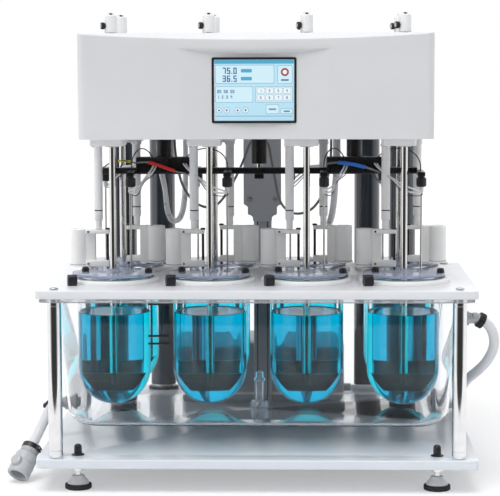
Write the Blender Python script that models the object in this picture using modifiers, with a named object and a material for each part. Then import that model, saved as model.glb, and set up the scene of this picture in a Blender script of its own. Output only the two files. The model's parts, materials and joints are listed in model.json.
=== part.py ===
"""Eight-vessel dissolution tester: base, water tank, glass vessels, lifting drive head and paddles.

Metres, +Z up. The origin lies on the bench under the middle of the base plate, -Y is the front.
Every station is described once, for the front row. The back row is the same station turned half round.
"""
import math

import bmesh
import bpy
import numpy as np
from mathutils import Matrix, Vector

# Clearances shared by every seat, bore and cut
GAP = 0.0003
CUT_OVERRUN = 0.002
MERGE_LIMIT = 0.00005

# Station grid: the widths and depths of the plates and the head follow from it
COLUMN_COUNT = 4
STATION_PITCH = 0.140
ROW_PITCH = 0.150
FRONT_ROW_INSET = 0.123
PLATE_SIDE_MARGIN = 0.098
PLATE_BACK_MARGIN = 0.087
PLATE_SIDE_INSET = 0.002
REAR_DECK_DEPTH = 0.230
HEAD_SIDE_MARGIN = 0.035
HEAD_BACK_INSET = 0.030
GRID_WIDTH = (COLUMN_COUNT - 1) * STATION_PITCH
PLATE_WIDTH = GRID_WIDTH + 2 * PLATE_SIDE_MARGIN
PLATE_DEPTH = FRONT_ROW_INSET + ROW_PITCH + PLATE_BACK_MARGIN
BASE_WIDTH = PLATE_WIDTH + 2 * PLATE_SIDE_INSET
BASE_DEPTH = PLATE_DEPTH + REAR_DECK_DEPTH
HEAD_WIDTH = GRID_WIDTH + 2 * HEAD_SIDE_MARGIN
HEAD_DEPTH = BASE_DEPTH - HEAD_BACK_INSET

# Base plate and its feet
BASE_THICKNESS = 0.013
BASE_CORNER = 0.008
BASE_UNDERSIDE = 0.035
FOOT_SIDE_INSET = 0.056
FOOT_END_INSET = 0.035
PAD_RADIUS = 0.019
PAD_HEIGHT = 0.0075
FOOT_CONE_LOW_RADIUS = 0.0155
FOOT_CONE_TOP_RADIUS = 0.0090
FOOT_CONE_HEIGHT = 0.0115
FOOT_NUT_RADIUS = 0.0090
FOOT_NUT_HEIGHT = 0.0085
STUD_RADIUS = 0.0040
CAP_RADIUS = 0.0055
CAP_HEIGHT = 0.0160

# Vessel plate on four posts
PLATE_THICKNESS = 0.0115
PLATE_CORNER = 0.006
POST_RADIUS = 0.010
POST_SIDE_INSET = 0.025
POST_END_INSET = 0.017


# Vessel, its ring and its lid
VESSEL_RADIUS = 0.053
VESSEL_WALL = 0.002
VESSEL_HEIGHT = 0.1888
VESSEL_CLEARANCE = 0.0185
VESSEL_LIP_RADIUS = 0.060
VESSEL_LIP_THICKNESS = 0.003
RING_RADIUS = 0.066
RING_HEIGHT = 0.0057
RING_TOP_RADIUS = 0.0640
PLATE_HOLE_RADIUS = 0.058
LID_RADIUS = 0.0595
LID_THICKNESS = 0.0035
LID_SHAFT_HOLE_RADIUS = 0.0085
LID_COLLAR_WIDTH = 0.0030
LID_COLLAR_HEIGHT = 0.0040
SAMPLE_HOLE_RADIUS = 0.0032
CLAMP_BLOCK_SIDE = 0.014
CLAMP_BLOCK_HEIGHT = 0.016
CLAMP_BLOCK_X = -0.053
CLAMP_BLOCK_Y = -0.058
LID_KNOB_RADIUS = 0.0050
LID_KNOB_HEIGHT = 0.0068
LID_KNOB_LEFT_X = -0.041
LID_KNOB_LEFT_Y = 0.004
LID_KNOB_RIGHT_X = 0.052
LID_KNOB_RIGHT_Y = -0.012

# Water tank hung under the vessel plate
TANK_WALL = 0.004
TANK_SIDE_INSET = 0.018
TANK_FRONT_INSET = 0.018
TANK_BACK_INSET = 0.013
TANK_DRAFT = 0.020
TANK_RISE = 0.036
TANK_CORNER_RADIUS = 0.047
TANK_FLOOR_RADIUS = 0.027
TANK_FLANGE_THICKNESS = 0.0055
TANK_FLANGE_INSET = 0.004
TANK_FLANGE_CORNER = 0.010
TANK_BOSS_RADIUS = 0.0125
TANK_BOSS_LENGTH = 0.020

# Tank fittings: drain low on the left wall, filler high on the right wall, jet and sensor on the floor
STEM_RADIUS = 0.0080
FITTING_FLANGE_RADIUS = 0.0120
FITTING_FLANGE_THICKNESS = 0.0050
INNER_NUT_RADIUS = 0.0130
INNER_NUT_THICKNESS = 0.0090
FITTING_SIDES = 8
DRAIN_BEHIND_FRONT_ROW = 0.052
DRAIN_RISE = 0.0135
FILLER_BEFORE_FRONT_ROW = 0.055
FILLER_BELOW_PLATE = 0.0465
JET_BASE_RADIUS = 0.0130
JET_BASE_HEIGHT = 0.0130
JET_STEM_RADIUS = 0.0060
JET_HEIGHT = 0.0560
JET_COLLAR_RADIUS = 0.0085
JET_COLLAR_RISE = 0.0220
JET_COLLAR_HEIGHT = 0.0080
JET_X = 0.0
JET_BEHIND_FRONT_ROW = 0.057

# Hoses and what is clamped on them
HOSE_RADIUS = 0.00725
HOSE_SIDES_RESOLUTION = 2
HOSE_STEP = 0.034
HOSE_FACET_SHARE = 1.15
ELBOW_RADIUS = 0.0066
ELBOW_BALL_RADIUS = 0.0074
ELBOW_REACH = 0.0085
CUP_FLOOR = 0.0030
CLAMP_WIDTH = 0.0090
CLAMP_THICKNESS = 0.0036
CLAMP_EAR_RADIUS = 0.0042
CLAMP_EAR_SPREAD = 0.0120
COUPLING_RADIUS = 0.0165
COUPLING_BORE = 0.0112
COUPLING_BODY_LENGTH = 0.0350
COUPLING_NECK_RADIUS = 0.0125
COUPLING_NECK_LENGTH = 0.0130
COUPLING_BORE_DEPTH = 0.0260
COUPLING_CHAMFER = 0.0018
LATCH_RADIUS = 0.0078
LATCH_HEIGHT = 0.0052
LATCH_SINK = 0.0035
LATCH_TRAVEL = 0.0015
LATCH_TURN = math.radians(180.0)
LATCH_FROM_MOUTH = 0.0150

# Lift: four telescopic columns and a middle carriage on its own mast
SLEEVE_RADIUS = 0.021
SLEEVE_WALL = 0.004
SLEEVE_LOW_END = 0.014
ROD_TOP_BELOW_HEAD = 0.026
ROD_FOOT_RADIUS = 0.025
ROD_FOOT_HEIGHT = 0.010
OUTER_COLUMN_OVERHANG = 0.010
OUTER_COLUMN_BEHIND_PLATE = 0.025
INNER_COLUMN_INSET = 0.041
INNER_COLUMN_BEFORE_HEAD_BACK = 0.030
MAST_WIDTH = 0.028
MAST_DEPTH = 0.036
MAST_WALL = 0.003
MAST_CORNER = 0.0022
MAST_TOP_BELOW_HEAD = 0.028
MAST_BEHIND_PLATE = 0.045
CARRIAGE_WIDTH = 0.059
CARRIAGE_WAIST_WIDTH = 0.046
CARRIAGE_TIP_WIDTH = 0.030
CARRIAGE_THICKNESS = 0.008
CARRIAGE_LENGTH = 0.147
CARRIAGE_SHOULDER = 0.016
CARRIAGE_TIP = 0.010
CARRIAGE_SCREW_RADIUS = 0.0045
CARRIAGE_SCREW_HEAD = 0.0025
CARRIAGE_SCREW_RISE = 0.026
CARRIAGE_SCREW_SPREAD = 0.040
RAM_LENGTH = 0.300

# Circulator and heater case behind the tank
CASE_SIDE_GAP = 0.039
CASE_BEHIND_MAST = 0.007
CASE_HEIGHT = 0.102
CASE_BACK_INSET = 0.030
CASE_EDGE = 0.008
CASE_SLOT_COUNT = 5
CASE_SLOT_PITCH = 0.014
CASE_SLOT_WIDTH = 0.004
CASE_SLOT_LENGTH = 0.040
CASE_SLOT_DEPTH = 0.006
CASE_SLOT_X = -0.070
CASE_PORT_RADIUS = 0.010
CASE_PORT_LENGTH = 0.012
CASE_PORT_RISE = 0.014
CASE_PORT_SHARE = 8 / 13
INLET_WIDTH = 0.028
INLET_HEIGHT = 0.022
INLET_DEPTH = 0.016
INLET_LIP = 0.003
INLET_LIP_THICKNESS = 0.002
INLET_WELL_DEPTH = 0.011
INLET_PIN_WIDTH = 0.0022
INLET_PIN_HEIGHT = 0.0045
INLET_PIN_PITCH = 0.0070
INLET_X = 0.088
INLET_RISE = 0.030
SWITCH_X = 0.045
SWITCH_WIDTH = 0.013
SWITCH_HEIGHT = 0.019
SWITCH_DEPTH = 0.010
SWITCH_SIDE_GAP = 0.0006
SWITCH_END_GAP = 0.0016
SWITCH_CROWN = 0.0022
SWITCH_TILT = math.radians(8.0)

# Drive head housing
HEAD_CLEARANCE = 0.210
HEAD_HEIGHT = 0.1455
HEAD_SHELL = 0.003
HEAD_CORNER = 0.010
HEAD_SPLIT_FROM_BACK = 0.075
BROW_DROP = 0.0085
BROW_EDGE = 0.0012
BROW_DEPTH = 0.016
SCOOP_HALF_WIDTH = 0.105
WING_SHARES = (0.75, 0.58)
SCOOP_STEP_SHARES = (1.0, 0.8, 0.6, 0.4, 0.2, 0.0)
SCOOP_DEPTH = 0.008
SCOOP_TOP_BELOW_HEAD_TOP = 0.0207
SCOOP_LEDGE_DROP = 0.0083
SCOOP_EDGE = 0.0004
TRAY_THICKNESS = 0.006
REAR_EDGE = 0.012
REAR_SLOT_COUNT = 5
REAR_SLOT_PITCH = 0.016
REAR_SLOT_WIDTH = 0.006
REAR_SLOT_LENGTH = 0.060
SCREEN_WIDTH = 0.1165
SCREEN_HEIGHT = 0.0902
SCREEN_X = -0.002
SCREEN_MIDDLE_BELOW_HEAD_TOP = 0.0783
SCREEN_BORDER = 0.0032
SCREEN_FRAME_DEPTH = 0.012
SCREEN_PROUD = 0.0035
SCREEN_GLASS_THICKNESS = 0.004
SCREEN_GLASS_SINK = 0.0012

# Spindles, chucks, belt and motor
SHAFT_RADIUS = 0.0048
SHAFT_ABOVE_CHUCK = 0.003
BLADE_TOP_WIDTH = 0.075
BLADE_LOW_WIDTH = 0.042
BLADE_HEIGHT = 0.019
BLADE_THICKNESS = 0.004
BLADE_ABOVE_VESSEL_FLOOR = 0.025
BLADE_SIDE_RADIUS = 0.0415
CHUCK_RADIUS = 0.0090
CHUCK_STANDOFF = 0.0015
CHUCK_HEIGHT = 0.0255
HUB_RADIUS = 0.0080
HUB_HOLE_RADIUS = 0.0100
PULLEY_RADIUS = 0.020
PULLEY_FLANGE = 0.002
PULLEY_FLANGE_THICKNESS = 0.0014
PULLEY_RISE = 0.044
FLOOR_HOLE_RADIUS = 0.0105
BEARING_RADIUS = 0.014
BEARING_HEIGHT = 0.014
THUMBSCREW_RADIUS = 0.0047
THUMBSCREW_LENGTH = 0.0065
THUMBSCREW_RISE = 0.0100
THUMBSCREW_TURN = math.radians(205.0)
BELT_WIDTH = 0.010
BELT_THICKNESS = 0.0015
BELT_CORNER_STEPS = 4
MOTOR_SIDE = 0.057
MOTOR_HEIGHT = 0.062
MOTOR_PLATE_SIDE = 0.072
MOTOR_PLATE_THICKNESS = 0.005
MOTOR_PLATE_RISE = 0.012
MOTOR_SHAFT_RADIUS = 0.005
MOTOR_EDGE = 0.004
MOTOR_LEG_RADIUS = 0.0035
MOTOR_LEG_INSET = 0.005

# Block, tube and tablet dispenser of each station
BLOCK_THICKNESS = 0.0147
BLOCK_LEFT = 0.032
BLOCK_RIGHT = 0.017
BLOCK_FRONT = 0.013
BLOCK_BACK = 0.048
BLOCK_SHAFT_HOLE_RADIUS = 0.0075
TUBE_X = -0.025
TUBE_Y = 0.040
TUBE_RADIUS = 0.0063
TUBE_SEAM_BELOW_HEAD = 0.111
TUBE_SHOULDER_BELOW_SEAM = 0.014
TUBE_NECK_BELOW_SEAM = 0.026
TUBE_NECK_RADIUS = 0.0047
DISPENSER_X = -0.055
DISPENSER_Y = 0.050
DISPENSER_RADIUS = 0.0130
DISPENSER_HEIGHT = 0.053
DISPENSER_FLANGE_THICKNESS = 0.002
DISPENSER_STANDOFF = 0.003
BRACKET_DEPTH = 0.013
BRACKET_LEFT = 0.004
BRACKET_POST_WIDTH = 0.0115
BRACKET_LENGTH = 0.0415
BRACKET_ARM_THICKNESS = 0.0062
BRACKET_FOOT_THICKNESS = 0.0095

# Sampling manifold
BAR_OVERHANG = 0.022
BAR_DEPTH = 0.016
BAR_THICKNESS = 0.009
BAR_BELOW_HEAD = 0.050
BAR_BEHIND_FRONT_ROW = 0.067
TRUNK_LENGTH = 0.082
TRUNK_HEIGHT = 0.025
TRUNK_FRONT = 0.007
GUIDE_COUNT = 3
GUIDE_RADIUS = 0.0115
GUIDE_ROD_RADIUS = 0.0050
GUIDE_MIDDLE_LENGTH = 0.044
GUIDE_SIDE_CLEARANCE = 0.0006
GUIDE_ROD_REACH = 0.114
NUB_WIDTH = 0.014
NUB_HEIGHT = 0.007
ARM_WIDTH = 0.011
ARM_OVERHANG = 0.007
KNOB_RADIUS = 0.0075
KNOB_HEIGHT = 0.0160
KNOB_LOBES = 6
SAMPLE_X = 0.025
SAMPLE_Y = 0.010
CANNULA_RADIUS = 0.0015
CANNULA_TIP_BELOW_LID = 0.0080

# Tubing and cables that hang under the head
BUNDLE_RADIUS = 0.0045
CABLE_RADIUS = 0.0019

# Faces round a turned piece
SIDES_LARGE = 12
SIDES_MEDIUM = 10
SIDES_SMALL = 8
SIDES_THIN = 6
ARC_STEPS = 3

# Levels and edges that follow from the sizes above
FRONT = -BASE_DEPTH / 2
BACK = BASE_DEPTH / 2
BASE_TOP = BASE_UNDERSIDE + BASE_THICKNESS
TANK_BOTTOM = BASE_TOP + TANK_RISE
VESSEL_BOTTOM = TANK_BOTTOM + TANK_WALL + VESSEL_CLEARANCE
VESSEL_TOP = VESSEL_BOTTOM + VESSEL_HEIGHT
VESSEL_FLOOR = VESSEL_BOTTOM + VESSEL_WALL
VESSEL_CENTRE = VESSEL_BOTTOM + VESSEL_RADIUS
RING_TOP = VESSEL_TOP - VESSEL_LIP_THICKNESS - GAP
PLATE_TOP = RING_TOP - RING_HEIGHT - GAP
PLATE_BOTTOM = PLATE_TOP - PLATE_THICKNESS
PLATE_BACK = FRONT + PLATE_DEPTH
FRONT_ROW_Y = FRONT + FRONT_ROW_INSET
BACK_ROW_Y = FRONT_ROW_Y + ROW_PITCH
LID_BOTTOM = VESSEL_TOP + GAP
LID_TOP = LID_BOTTOM + LID_THICKNESS
HEAD_BOTTOM = PLATE_TOP + HEAD_CLEARANCE
HEAD_TOP = HEAD_BOTTOM + HEAD_HEIGHT
HEAD_BACK = FRONT + HEAD_DEPTH
HEAD_SPLIT = HEAD_BACK - HEAD_SPLIT_FROM_BACK
TRAY_TOP = HEAD_BOTTOM + TRAY_THICKNESS
PULLEY_BOTTOM = HEAD_BOTTOM + PULLEY_RISE
BELT_BOTTOM = PULLEY_BOTTOM + PULLEY_FLANGE_THICKNESS + GAP
PULLEY_TOP = BELT_BOTTOM + BELT_WIDTH + GAP
CHUCK_BOTTOM = HEAD_TOP + CHUCK_STANDOFF
CHUCK_TOP = CHUCK_BOTTOM + CHUCK_HEIGHT
BAR_LENGTH = GRID_WIDTH + 2 * BAR_OVERHANG
BAR_BOTTOM = HEAD_BOTTOM - BAR_BELOW_HEAD - BAR_THICKNESS
BAR_TOP = HEAD_BOTTOM - BAR_BELOW_HEAD
BAR_Y = FRONT_ROW_Y + BAR_BEHIND_FRONT_ROW
GUIDE_PITCH = STATION_PITCH
TANK_TOP = PLATE_BOTTOM - GAP
TANK_FRONT = FRONT + TANK_FRONT_INSET
TANK_BACK = PLATE_BACK - TANK_BACK_INSET
TANK_HALF_WIDTH = PLATE_WIDTH / 2 - TANK_SIDE_INSET
DRAIN_HEIGHT = TANK_BOTTOM + DRAIN_RISE
FILLER_HEIGHT = PLATE_TOP - FILLER_BELOW_PLATE
OUTER_COLUMN_X = GRID_WIDTH / 2 + OUTER_COLUMN_OVERHANG
OUTER_COLUMN_Y = PLATE_BACK + OUTER_COLUMN_BEHIND_PLATE
INNER_COLUMN_X = GRID_WIDTH / 2 - INNER_COLUMN_INSET
INNER_COLUMN_Y = HEAD_BACK - INNER_COLUMN_BEFORE_HEAD_BACK
GUIDE_ROD_HEIGHT = HEAD_BOTTOM - ROD_TOP_BELOW_HEAD - BASE_TOP
MAST_HEIGHT = HEAD_BOTTOM - MAST_TOP_BELOW_HEAD - BASE_TOP
MAST_Y = PLATE_BACK + MAST_BEHIND_PLATE
CASE_BACK = BACK - CASE_BACK_INSET
CASE_BOTTOM = BASE_TOP + GAP
CASE_WIDTH = 2 * (INNER_COLUMN_X - CASE_SIDE_GAP)
CASE_DEPTH = CASE_BACK - CASE_BEHIND_MAST - MAST_DEPTH / 2 - MAST_Y

# Cord routes, chosen by hand for the real model. Each is shifted so that its ends stay on what they meet
DRAIN_ROUTE = [
    (-0.3045, -0.1290, 0.0965),
    (-0.3070, -0.1395, 0.0942),
    (-0.3107, -0.1525, 0.0876),
    (-0.3165, -0.1685, 0.0747),
    (-0.3238, -0.1848, 0.0582),
    (-0.3302, -0.1977, 0.0442),
]
FILLER_ROUTE = [
    (0.3110, -0.2270, 0.2390),
    (0.3245, -0.2255, 0.2320),
    (0.3345, -0.2195, 0.2165),
    (0.3370, -0.2090, 0.1975),
    (0.3320, -0.1945, 0.1780),
    (0.3225, -0.1755, 0.1605),
    (0.3120, -0.1500, 0.1450),
    (0.3060, -0.1170, 0.1310),
    (0.3040, -0.0750, 0.1150),
    (0.3035, -0.0300, 0.0960),
    (0.3040, 0.0150, 0.0770),
    (0.3030, 0.0600, 0.0630),
    (0.2920, 0.1020, 0.0570),
    (0.2660, 0.1380, 0.0560),
    (0.2300, 0.1650, 0.0570),
    (0.1940, 0.1810, 0.0600),
    (0.1700, 0.1848, 0.0620),
    (0.1560, 0.1850, 0.0623),
    (0.1427, 0.1850, 0.0623),
]
LEFT_BUNDLE_ROUTE = [
    (-0.1500, -0.0750, 0.4950),
    (-0.1500, -0.0745, 0.4750),
    (-0.1480, -0.0720, 0.4450),
    (-0.1420, -0.0680, 0.4100),
    (-0.1400, -0.0520, 0.3800),
    (-0.1340, -0.0200, 0.3600),
    (-0.1250, 0.0150, 0.3620),
    (-0.1200, 0.0450, 0.3900),
    (-0.1190, 0.0560, 0.4300),
    (-0.1190, 0.0580, 0.4700),
    (-0.1190, 0.0580, 0.4950),
]
RIGHT_BUNDLE_ROUTE = [
    (0.1160, -0.0750, 0.4950),
    (0.1160, -0.0745, 0.4750),
    (0.1150, -0.0720, 0.4450),
    (0.1110, -0.0680, 0.4100),
    (0.1080, -0.0520, 0.3780),
    (0.1040, -0.0200, 0.3570),
    (0.1080, 0.0150, 0.3600),
    (0.1130, 0.0450, 0.3900),
    (0.1150, 0.0560, 0.4300),
    (0.1150, 0.0580, 0.4700),
    (0.1150, 0.0580, 0.4950),
]
CABLE_ROUTE = [
    (-0.1270, -0.0680, 0.4950),
    (-0.1270, -0.0680, 0.4800),
    (-0.1240, -0.0630, 0.4500),
    (-0.1180, -0.0510, 0.4200),
    (-0.1080, -0.0310, 0.3980),
    (-0.0940, -0.0110, 0.3830),
    (-0.0740, 0.0020, 0.3790),
    (-0.0560, 0.0140, 0.3950),
    (-0.0380, 0.0290, 0.4260),
    (-0.0240, 0.0420, 0.4590),
    (-0.0140, 0.0480, 0.4800),
    (-0.0040, 0.0500, 0.4870),
    (0.0060, 0.0480, 0.4800),
    (0.0140, 0.0400, 0.4560),
    (0.0220, 0.0270, 0.4150),
    (0.0330, 0.0140, 0.3800),
    (0.0500, 0.0040, 0.3690),
    (0.0700, -0.0040, 0.3720),
    (0.0870, -0.0190, 0.3880),
    (0.0990, -0.0370, 0.4180),
    (0.1055, -0.0500, 0.4500),
    (0.1065, -0.0560, 0.4780),
    (0.1065, -0.0570, 0.4950),
]

DRAIN_DRAWN_AT = (-0.27942, -0.120, 0.0975)
FILLER_DRAWN_AT = (0.29035, -0.227, 0.2395)
PORT_DRAWN_AT = (0.142, 0.185, 0.0623)
LOOPS_DRAWN_AT = (0.140, -0.172, 0.496)

PART_COLLECTION = "dissolution_tester"
TOOL_COLLECTION = "cutters"


def clear_scene():
    """Remove what the scene holds and make the two collections."""
    for item in list(bpy.data.objects):
        bpy.data.objects.remove(item, do_unlink=True)
    for name in (PART_COLLECTION, TOOL_COLLECTION):
        if name not in bpy.data.collections:
            bpy.context.scene.collection.children.link(bpy.data.collections.new(name))


def material(name, colour, roughness, metallic=0.0, alpha=1.0):
    """A Principled material with one colour and finish."""
    made = bpy.data.materials.new(name)
    made.use_nodes = True
    shader = made.node_tree.nodes["Principled BSDF"]
    shader.inputs["Base Color"].default_value = (*colour, 1.0)
    shader.inputs["Roughness"].default_value = roughness
    shader.inputs["Metallic"].default_value = metallic
    shader.inputs["Alpha"].default_value = alpha
    return made


def link(name, data, finish=None, where=PART_COLLECTION):
    """Put a mesh or curve into a collection as a named object."""
    made = bpy.data.objects.new(name, data)
    bpy.data.collections[where].objects.link(made)
    if finish is not None:
        made.data.materials.append(finish)
    return made


def mesh_from(bm, name):
    """Turn a bmesh into a mesh whose faces point outwards."""
    bmesh.ops.recalc_face_normals(bm, faces=bm.faces)
    mesh = bpy.data.meshes.new(name)
    bm.to_mesh(mesh)
    bm.free()
    return mesh


def box(name, size, centre, edge=0.0, steps=1, finish=None):
    """A box with bevelled edges, its object at the centre of the box."""
    bm = bmesh.new()
    bmesh.ops.create_cube(bm, size=1.0)
    bmesh.ops.scale(bm, vec=size, verts=bm.verts)
    if edge > 0.0:
        bmesh.ops.bevel(bm, geom=bm.edges[:], offset=edge, segments=steps, profile=0.5, affect="EDGES")
    made = link(name, mesh_from(bm, name), finish)
    made.location = centre
    return made


def upright_box(name, size, centre, edge, steps=2, finish=None):
    """A box whose four upright edges alone are rounded."""
    bm = bmesh.new()
    bmesh.ops.create_cube(bm, size=1.0)
    bmesh.ops.scale(bm, vec=size, verts=bm.verts)
    upright = [e for e in bm.edges if abs(e.verts[0].co.z - e.verts[1].co.z) > size[2] / 2]
    bmesh.ops.bevel(bm, geom=upright, offset=edge, segments=steps, profile=0.5, affect="EDGES")
    made = link(name, mesh_from(bm, name), finish)
    made.location = centre
    return made


def cylinder(name, radius, low, high, x=0.0, y=0.0, sides=SIDES_MEDIUM, finish=None):
    """An upright cylinder between two levels."""
    bm = bmesh.new()
    bmesh.ops.create_cone(bm, cap_ends=True, segments=sides, radius1=radius, radius2=radius,
                          depth=high - low)
    made = link(name, mesh_from(bm, name), finish)
    made.location = (x, y, (low + high) / 2)
    return made


def turned(name, outline, sides=SIDES_MEDIUM, finish=None, closed=False):
    """A solid of revolution about Z. The outline holds (radius, level) pairs from top to bottom.

    A closed outline comes back up along its bore.
    """
    count = len(outline)
    edges = [(i, i + 1) for i in range(count - 1)]
    if closed:
        edges.append((count - 1, 0))
    mesh = bpy.data.meshes.new(name)
    mesh.from_pydata([(radius, 0.0, level) for radius, level in outline], edges, [])
    made = link(name, mesh, finish)
    spin = made.modifiers.new("turn", "SCREW")
    spin.steps = sides
    spin.render_steps = sides
    spin.use_merge_vertices = True
    spin.merge_threshold = MERGE_LIMIT
    return made


def baked(made):
    """Give an object its evaluated mesh, with its place applied, and drop its modifiers."""
    depsgraph = bpy.context.evaluated_depsgraph_get()
    depsgraph.update()
    mesh = bpy.data.meshes.new_from_object(made.evaluated_get(depsgraph))
    mesh.transform(made.matrix_basis)
    name = made.name
    finish = made.data.materials[0] if len(made.data.materials) else None
    where = PART_COLLECTION
    bpy.data.objects.remove(made, do_unlink=True)
    bm = bmesh.new()
    bm.from_mesh(mesh)
    bmesh.ops.remove_doubles(bm, verts=bm.verts, dist=MERGE_LIMIT)
    result = link(name, mesh_from(bm, name), None, where)
    result.data.materials.clear()
    if finish is not None:
        result.data.materials.append(finish)
    return result


def as_tool(piece):
    """Hide a piece that only cuts or joins another."""
    for held in list(piece.users_collection):
        held.objects.unlink(piece)
    bpy.data.collections[TOOL_COLLECTION].objects.link(piece)
    piece.hide_render = True
    piece.display_type = "WIRE"


def combine(target, pieces, operation, solver="EXACT"):
    """Add one Boolean for each piece and hide the pieces."""
    for piece in pieces:
        as_tool(piece)
        step = target.modifiers.new(operation.lower(), "BOOLEAN")
        step.operation = operation
        step.solver = solver
        step.object = piece
    return target


def joined(target, *pieces):
    """Fuse pieces with the target into one solid."""
    return combine(target, pieces, "UNION")


def welded(target, *pieces):
    """Fuse closed pieces with a target that has many faces in common planes with them."""
    return combine(target, pieces, "UNION", "MANIFOLD")


def cut(target, *pieces):
    """Cut pieces out of the target."""
    return combine(target, pieces, "DIFFERENCE")


def drop_tools():
    """Remove the hidden pieces once the solids that used them are baked."""
    for piece in list(bpy.data.collections[TOOL_COLLECTION].objects):
        bpy.data.objects.remove(piece, do_unlink=True)


def finished(made):
    """Bake a solid with its Booleans and remove their tools."""
    done = baked(made)
    drop_tools()
    return done


def group(name, prototype, places, finish):
    """One object that holds a copy of the prototype at each place."""
    source = baked(prototype)
    bm = bmesh.new()
    for place in places:
        before = len(bm.verts)
        bm.from_mesh(source.data)
        bm.verts.ensure_lookup_table()
        bmesh.ops.transform(bm, matrix=place, verts=bm.verts[before:])
    mesh = bpy.data.meshes.new(name)
    bm.to_mesh(mesh)
    bm.free()
    bpy.data.objects.remove(source, do_unlink=True)
    mesh.materials.clear()
    return link(name, mesh, finish)


def gather(name, pieces, finish):
    """One object that holds several unlike solids side by side."""
    bm = bmesh.new()
    for piece in pieces:
        source = baked(piece)
        bm.from_mesh(source.data)
        bpy.data.objects.remove(source, do_unlink=True)
    mesh = bpy.data.meshes.new(name)
    bm.to_mesh(mesh)
    bm.free()
    mesh.materials.clear()
    return link(name, mesh, finish)


def smooth(made, angle=math.radians(35.0)):
    """Shade round faces smooth and keep real edges sharp."""
    made.data.shade_smooth()
    made.data.set_sharp_from_angle(angle=angle)
    return made


def arc(centre_x, centre_y, radius, start, end, steps):
    """Points along an arc, both ends included."""
    turn = [start + (end - start) * i / steps for i in range(steps + 1)]
    return [(centre_x + radius * math.cos(a), centre_y + radius * math.sin(a)) for a in turn]


def rounded_rectangle(left, right, front, back, radius, steps=ARC_STEPS):
    """Points round a rectangle with round corners, counter-clockwise."""
    quarter = math.pi / 2
    points = []
    corners = [
        (left + radius, front + radius, 2 * quarter),
        (right - radius, front + radius, 3 * quarter),
        (right - radius, back - radius, 4 * quarter),
        (left + radius, back - radius, 5 * quarter),
    ]
    for x, y, start in corners:
        points.extend(arc(x, y, radius, start, start + quarter, steps))
    return points


def circle(x, y, radius, sides=SIDES_LARGE):
    """Points round a circle."""
    return arc(x, y, radius, 0.0, 2 * math.pi * (sides - 1) / sides, sides - 1)


def flat_plate(name, loops, low, high, finish=None):
    """A flat outline with holes, as a filled 2D curve raised to its thickness."""
    curve = bpy.data.curves.new(name, "CURVE")
    curve.dimensions = "2D"
    curve.fill_mode = "BOTH"
    curve.extrude = (high - low) / 2
    for points in loops:
        spline = curve.splines.new("POLY")
        spline.points.add(len(points) - 1)
        for target, (x, y) in zip(spline.points, points):
            target.co = (x, y, 0.0, 1.0)
        spline.use_cyclic_u = True
    made = link(name, curve, finish)
    made.location = (0.0, 0.0, (low + high) / 2)
    return baked(made)


def facing(direction):
    """The rotation that turns +Z to a direction."""
    return Vector(direction).normalized().to_track_quat("Z", "Y")


def smooth_route(points, step):
    """Points about one step apart on a smooth curve through a cord's own points."""
    way = np.array(points)
    along = np.concatenate([[0.0], np.cumsum(np.linalg.norm(np.diff(way, axis=0), axis=1))])
    count = len(way)
    system = np.zeros((count, count))
    right = np.zeros_like(way)
    system[0, 0] = 1.0
    system[-1, -1] = 1.0
    for i in range(1, count - 1):
        before = along[i] - along[i - 1]
        after = along[i + 1] - along[i]
        system[i, i - 1:i + 2] = (before, 2 * (before + after), after)
        right[i] = 6 * ((way[i + 1] - way[i]) / after - (way[i] - way[i - 1]) / before)
    bend = np.linalg.solve(system, right)
    samples = max(3, int(round(along[-1] / step)) + 1)
    result = []
    for s in np.linspace(0.0, along[-1], samples):
        i = min(int(np.searchsorted(along, s, side="right")) - 1, count - 2)
        span = along[i + 1] - along[i]
        ahead = (s - along[i]) / span
        back = 1.0 - ahead
        bow = ((back ** 3 - back) * bend[i] + (ahead ** 3 - ahead) * bend[i + 1]) * span ** 2 / 6
        result.append(tuple(back * way[i] + ahead * way[i + 1] + bow))
    return result


def tube(name, points, radius, finish=None, resolution=HOSE_SIDES_RESOLUTION):
    """A round tube along points, with filled ends."""
    curve = bpy.data.curves.new(name, "CURVE")
    curve.dimensions = "3D"
    curve.bevel_depth = radius
    curve.bevel_resolution = resolution
    curve.use_fill_caps = True
    spline = curve.splines.new("POLY")
    spline.points.add(len(points) - 1)
    for target, point in zip(spline.points, points):
        target.co = (*point, 1.0)
    return link(name, curve, finish)


def stations():
    """Number, row and place of each station. The back row is turned half round."""
    listed = []
    for row, y in enumerate((FRONT_ROW_Y, BACK_ROW_Y)):
        for column in range(COLUMN_COUNT):
            x = (column - (COLUMN_COUNT - 1) / 2) * STATION_PITCH
            place = Matrix.Translation((x, y, 0.0)) @ Matrix.Rotation(math.pi * row, 4, "Z")
            listed.append((row * COLUMN_COUNT + column + 1, row, place))
    return listed


STATIONS = stations()
STATION_PLACES = [place for number, row, place in STATIONS]


def corner_places(side, front, back):
    """Places of four like pieces, one near each corner."""
    return [Matrix.Translation((x, y, 0.0)) for x in (-side, side) for y in (front, back)]


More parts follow.
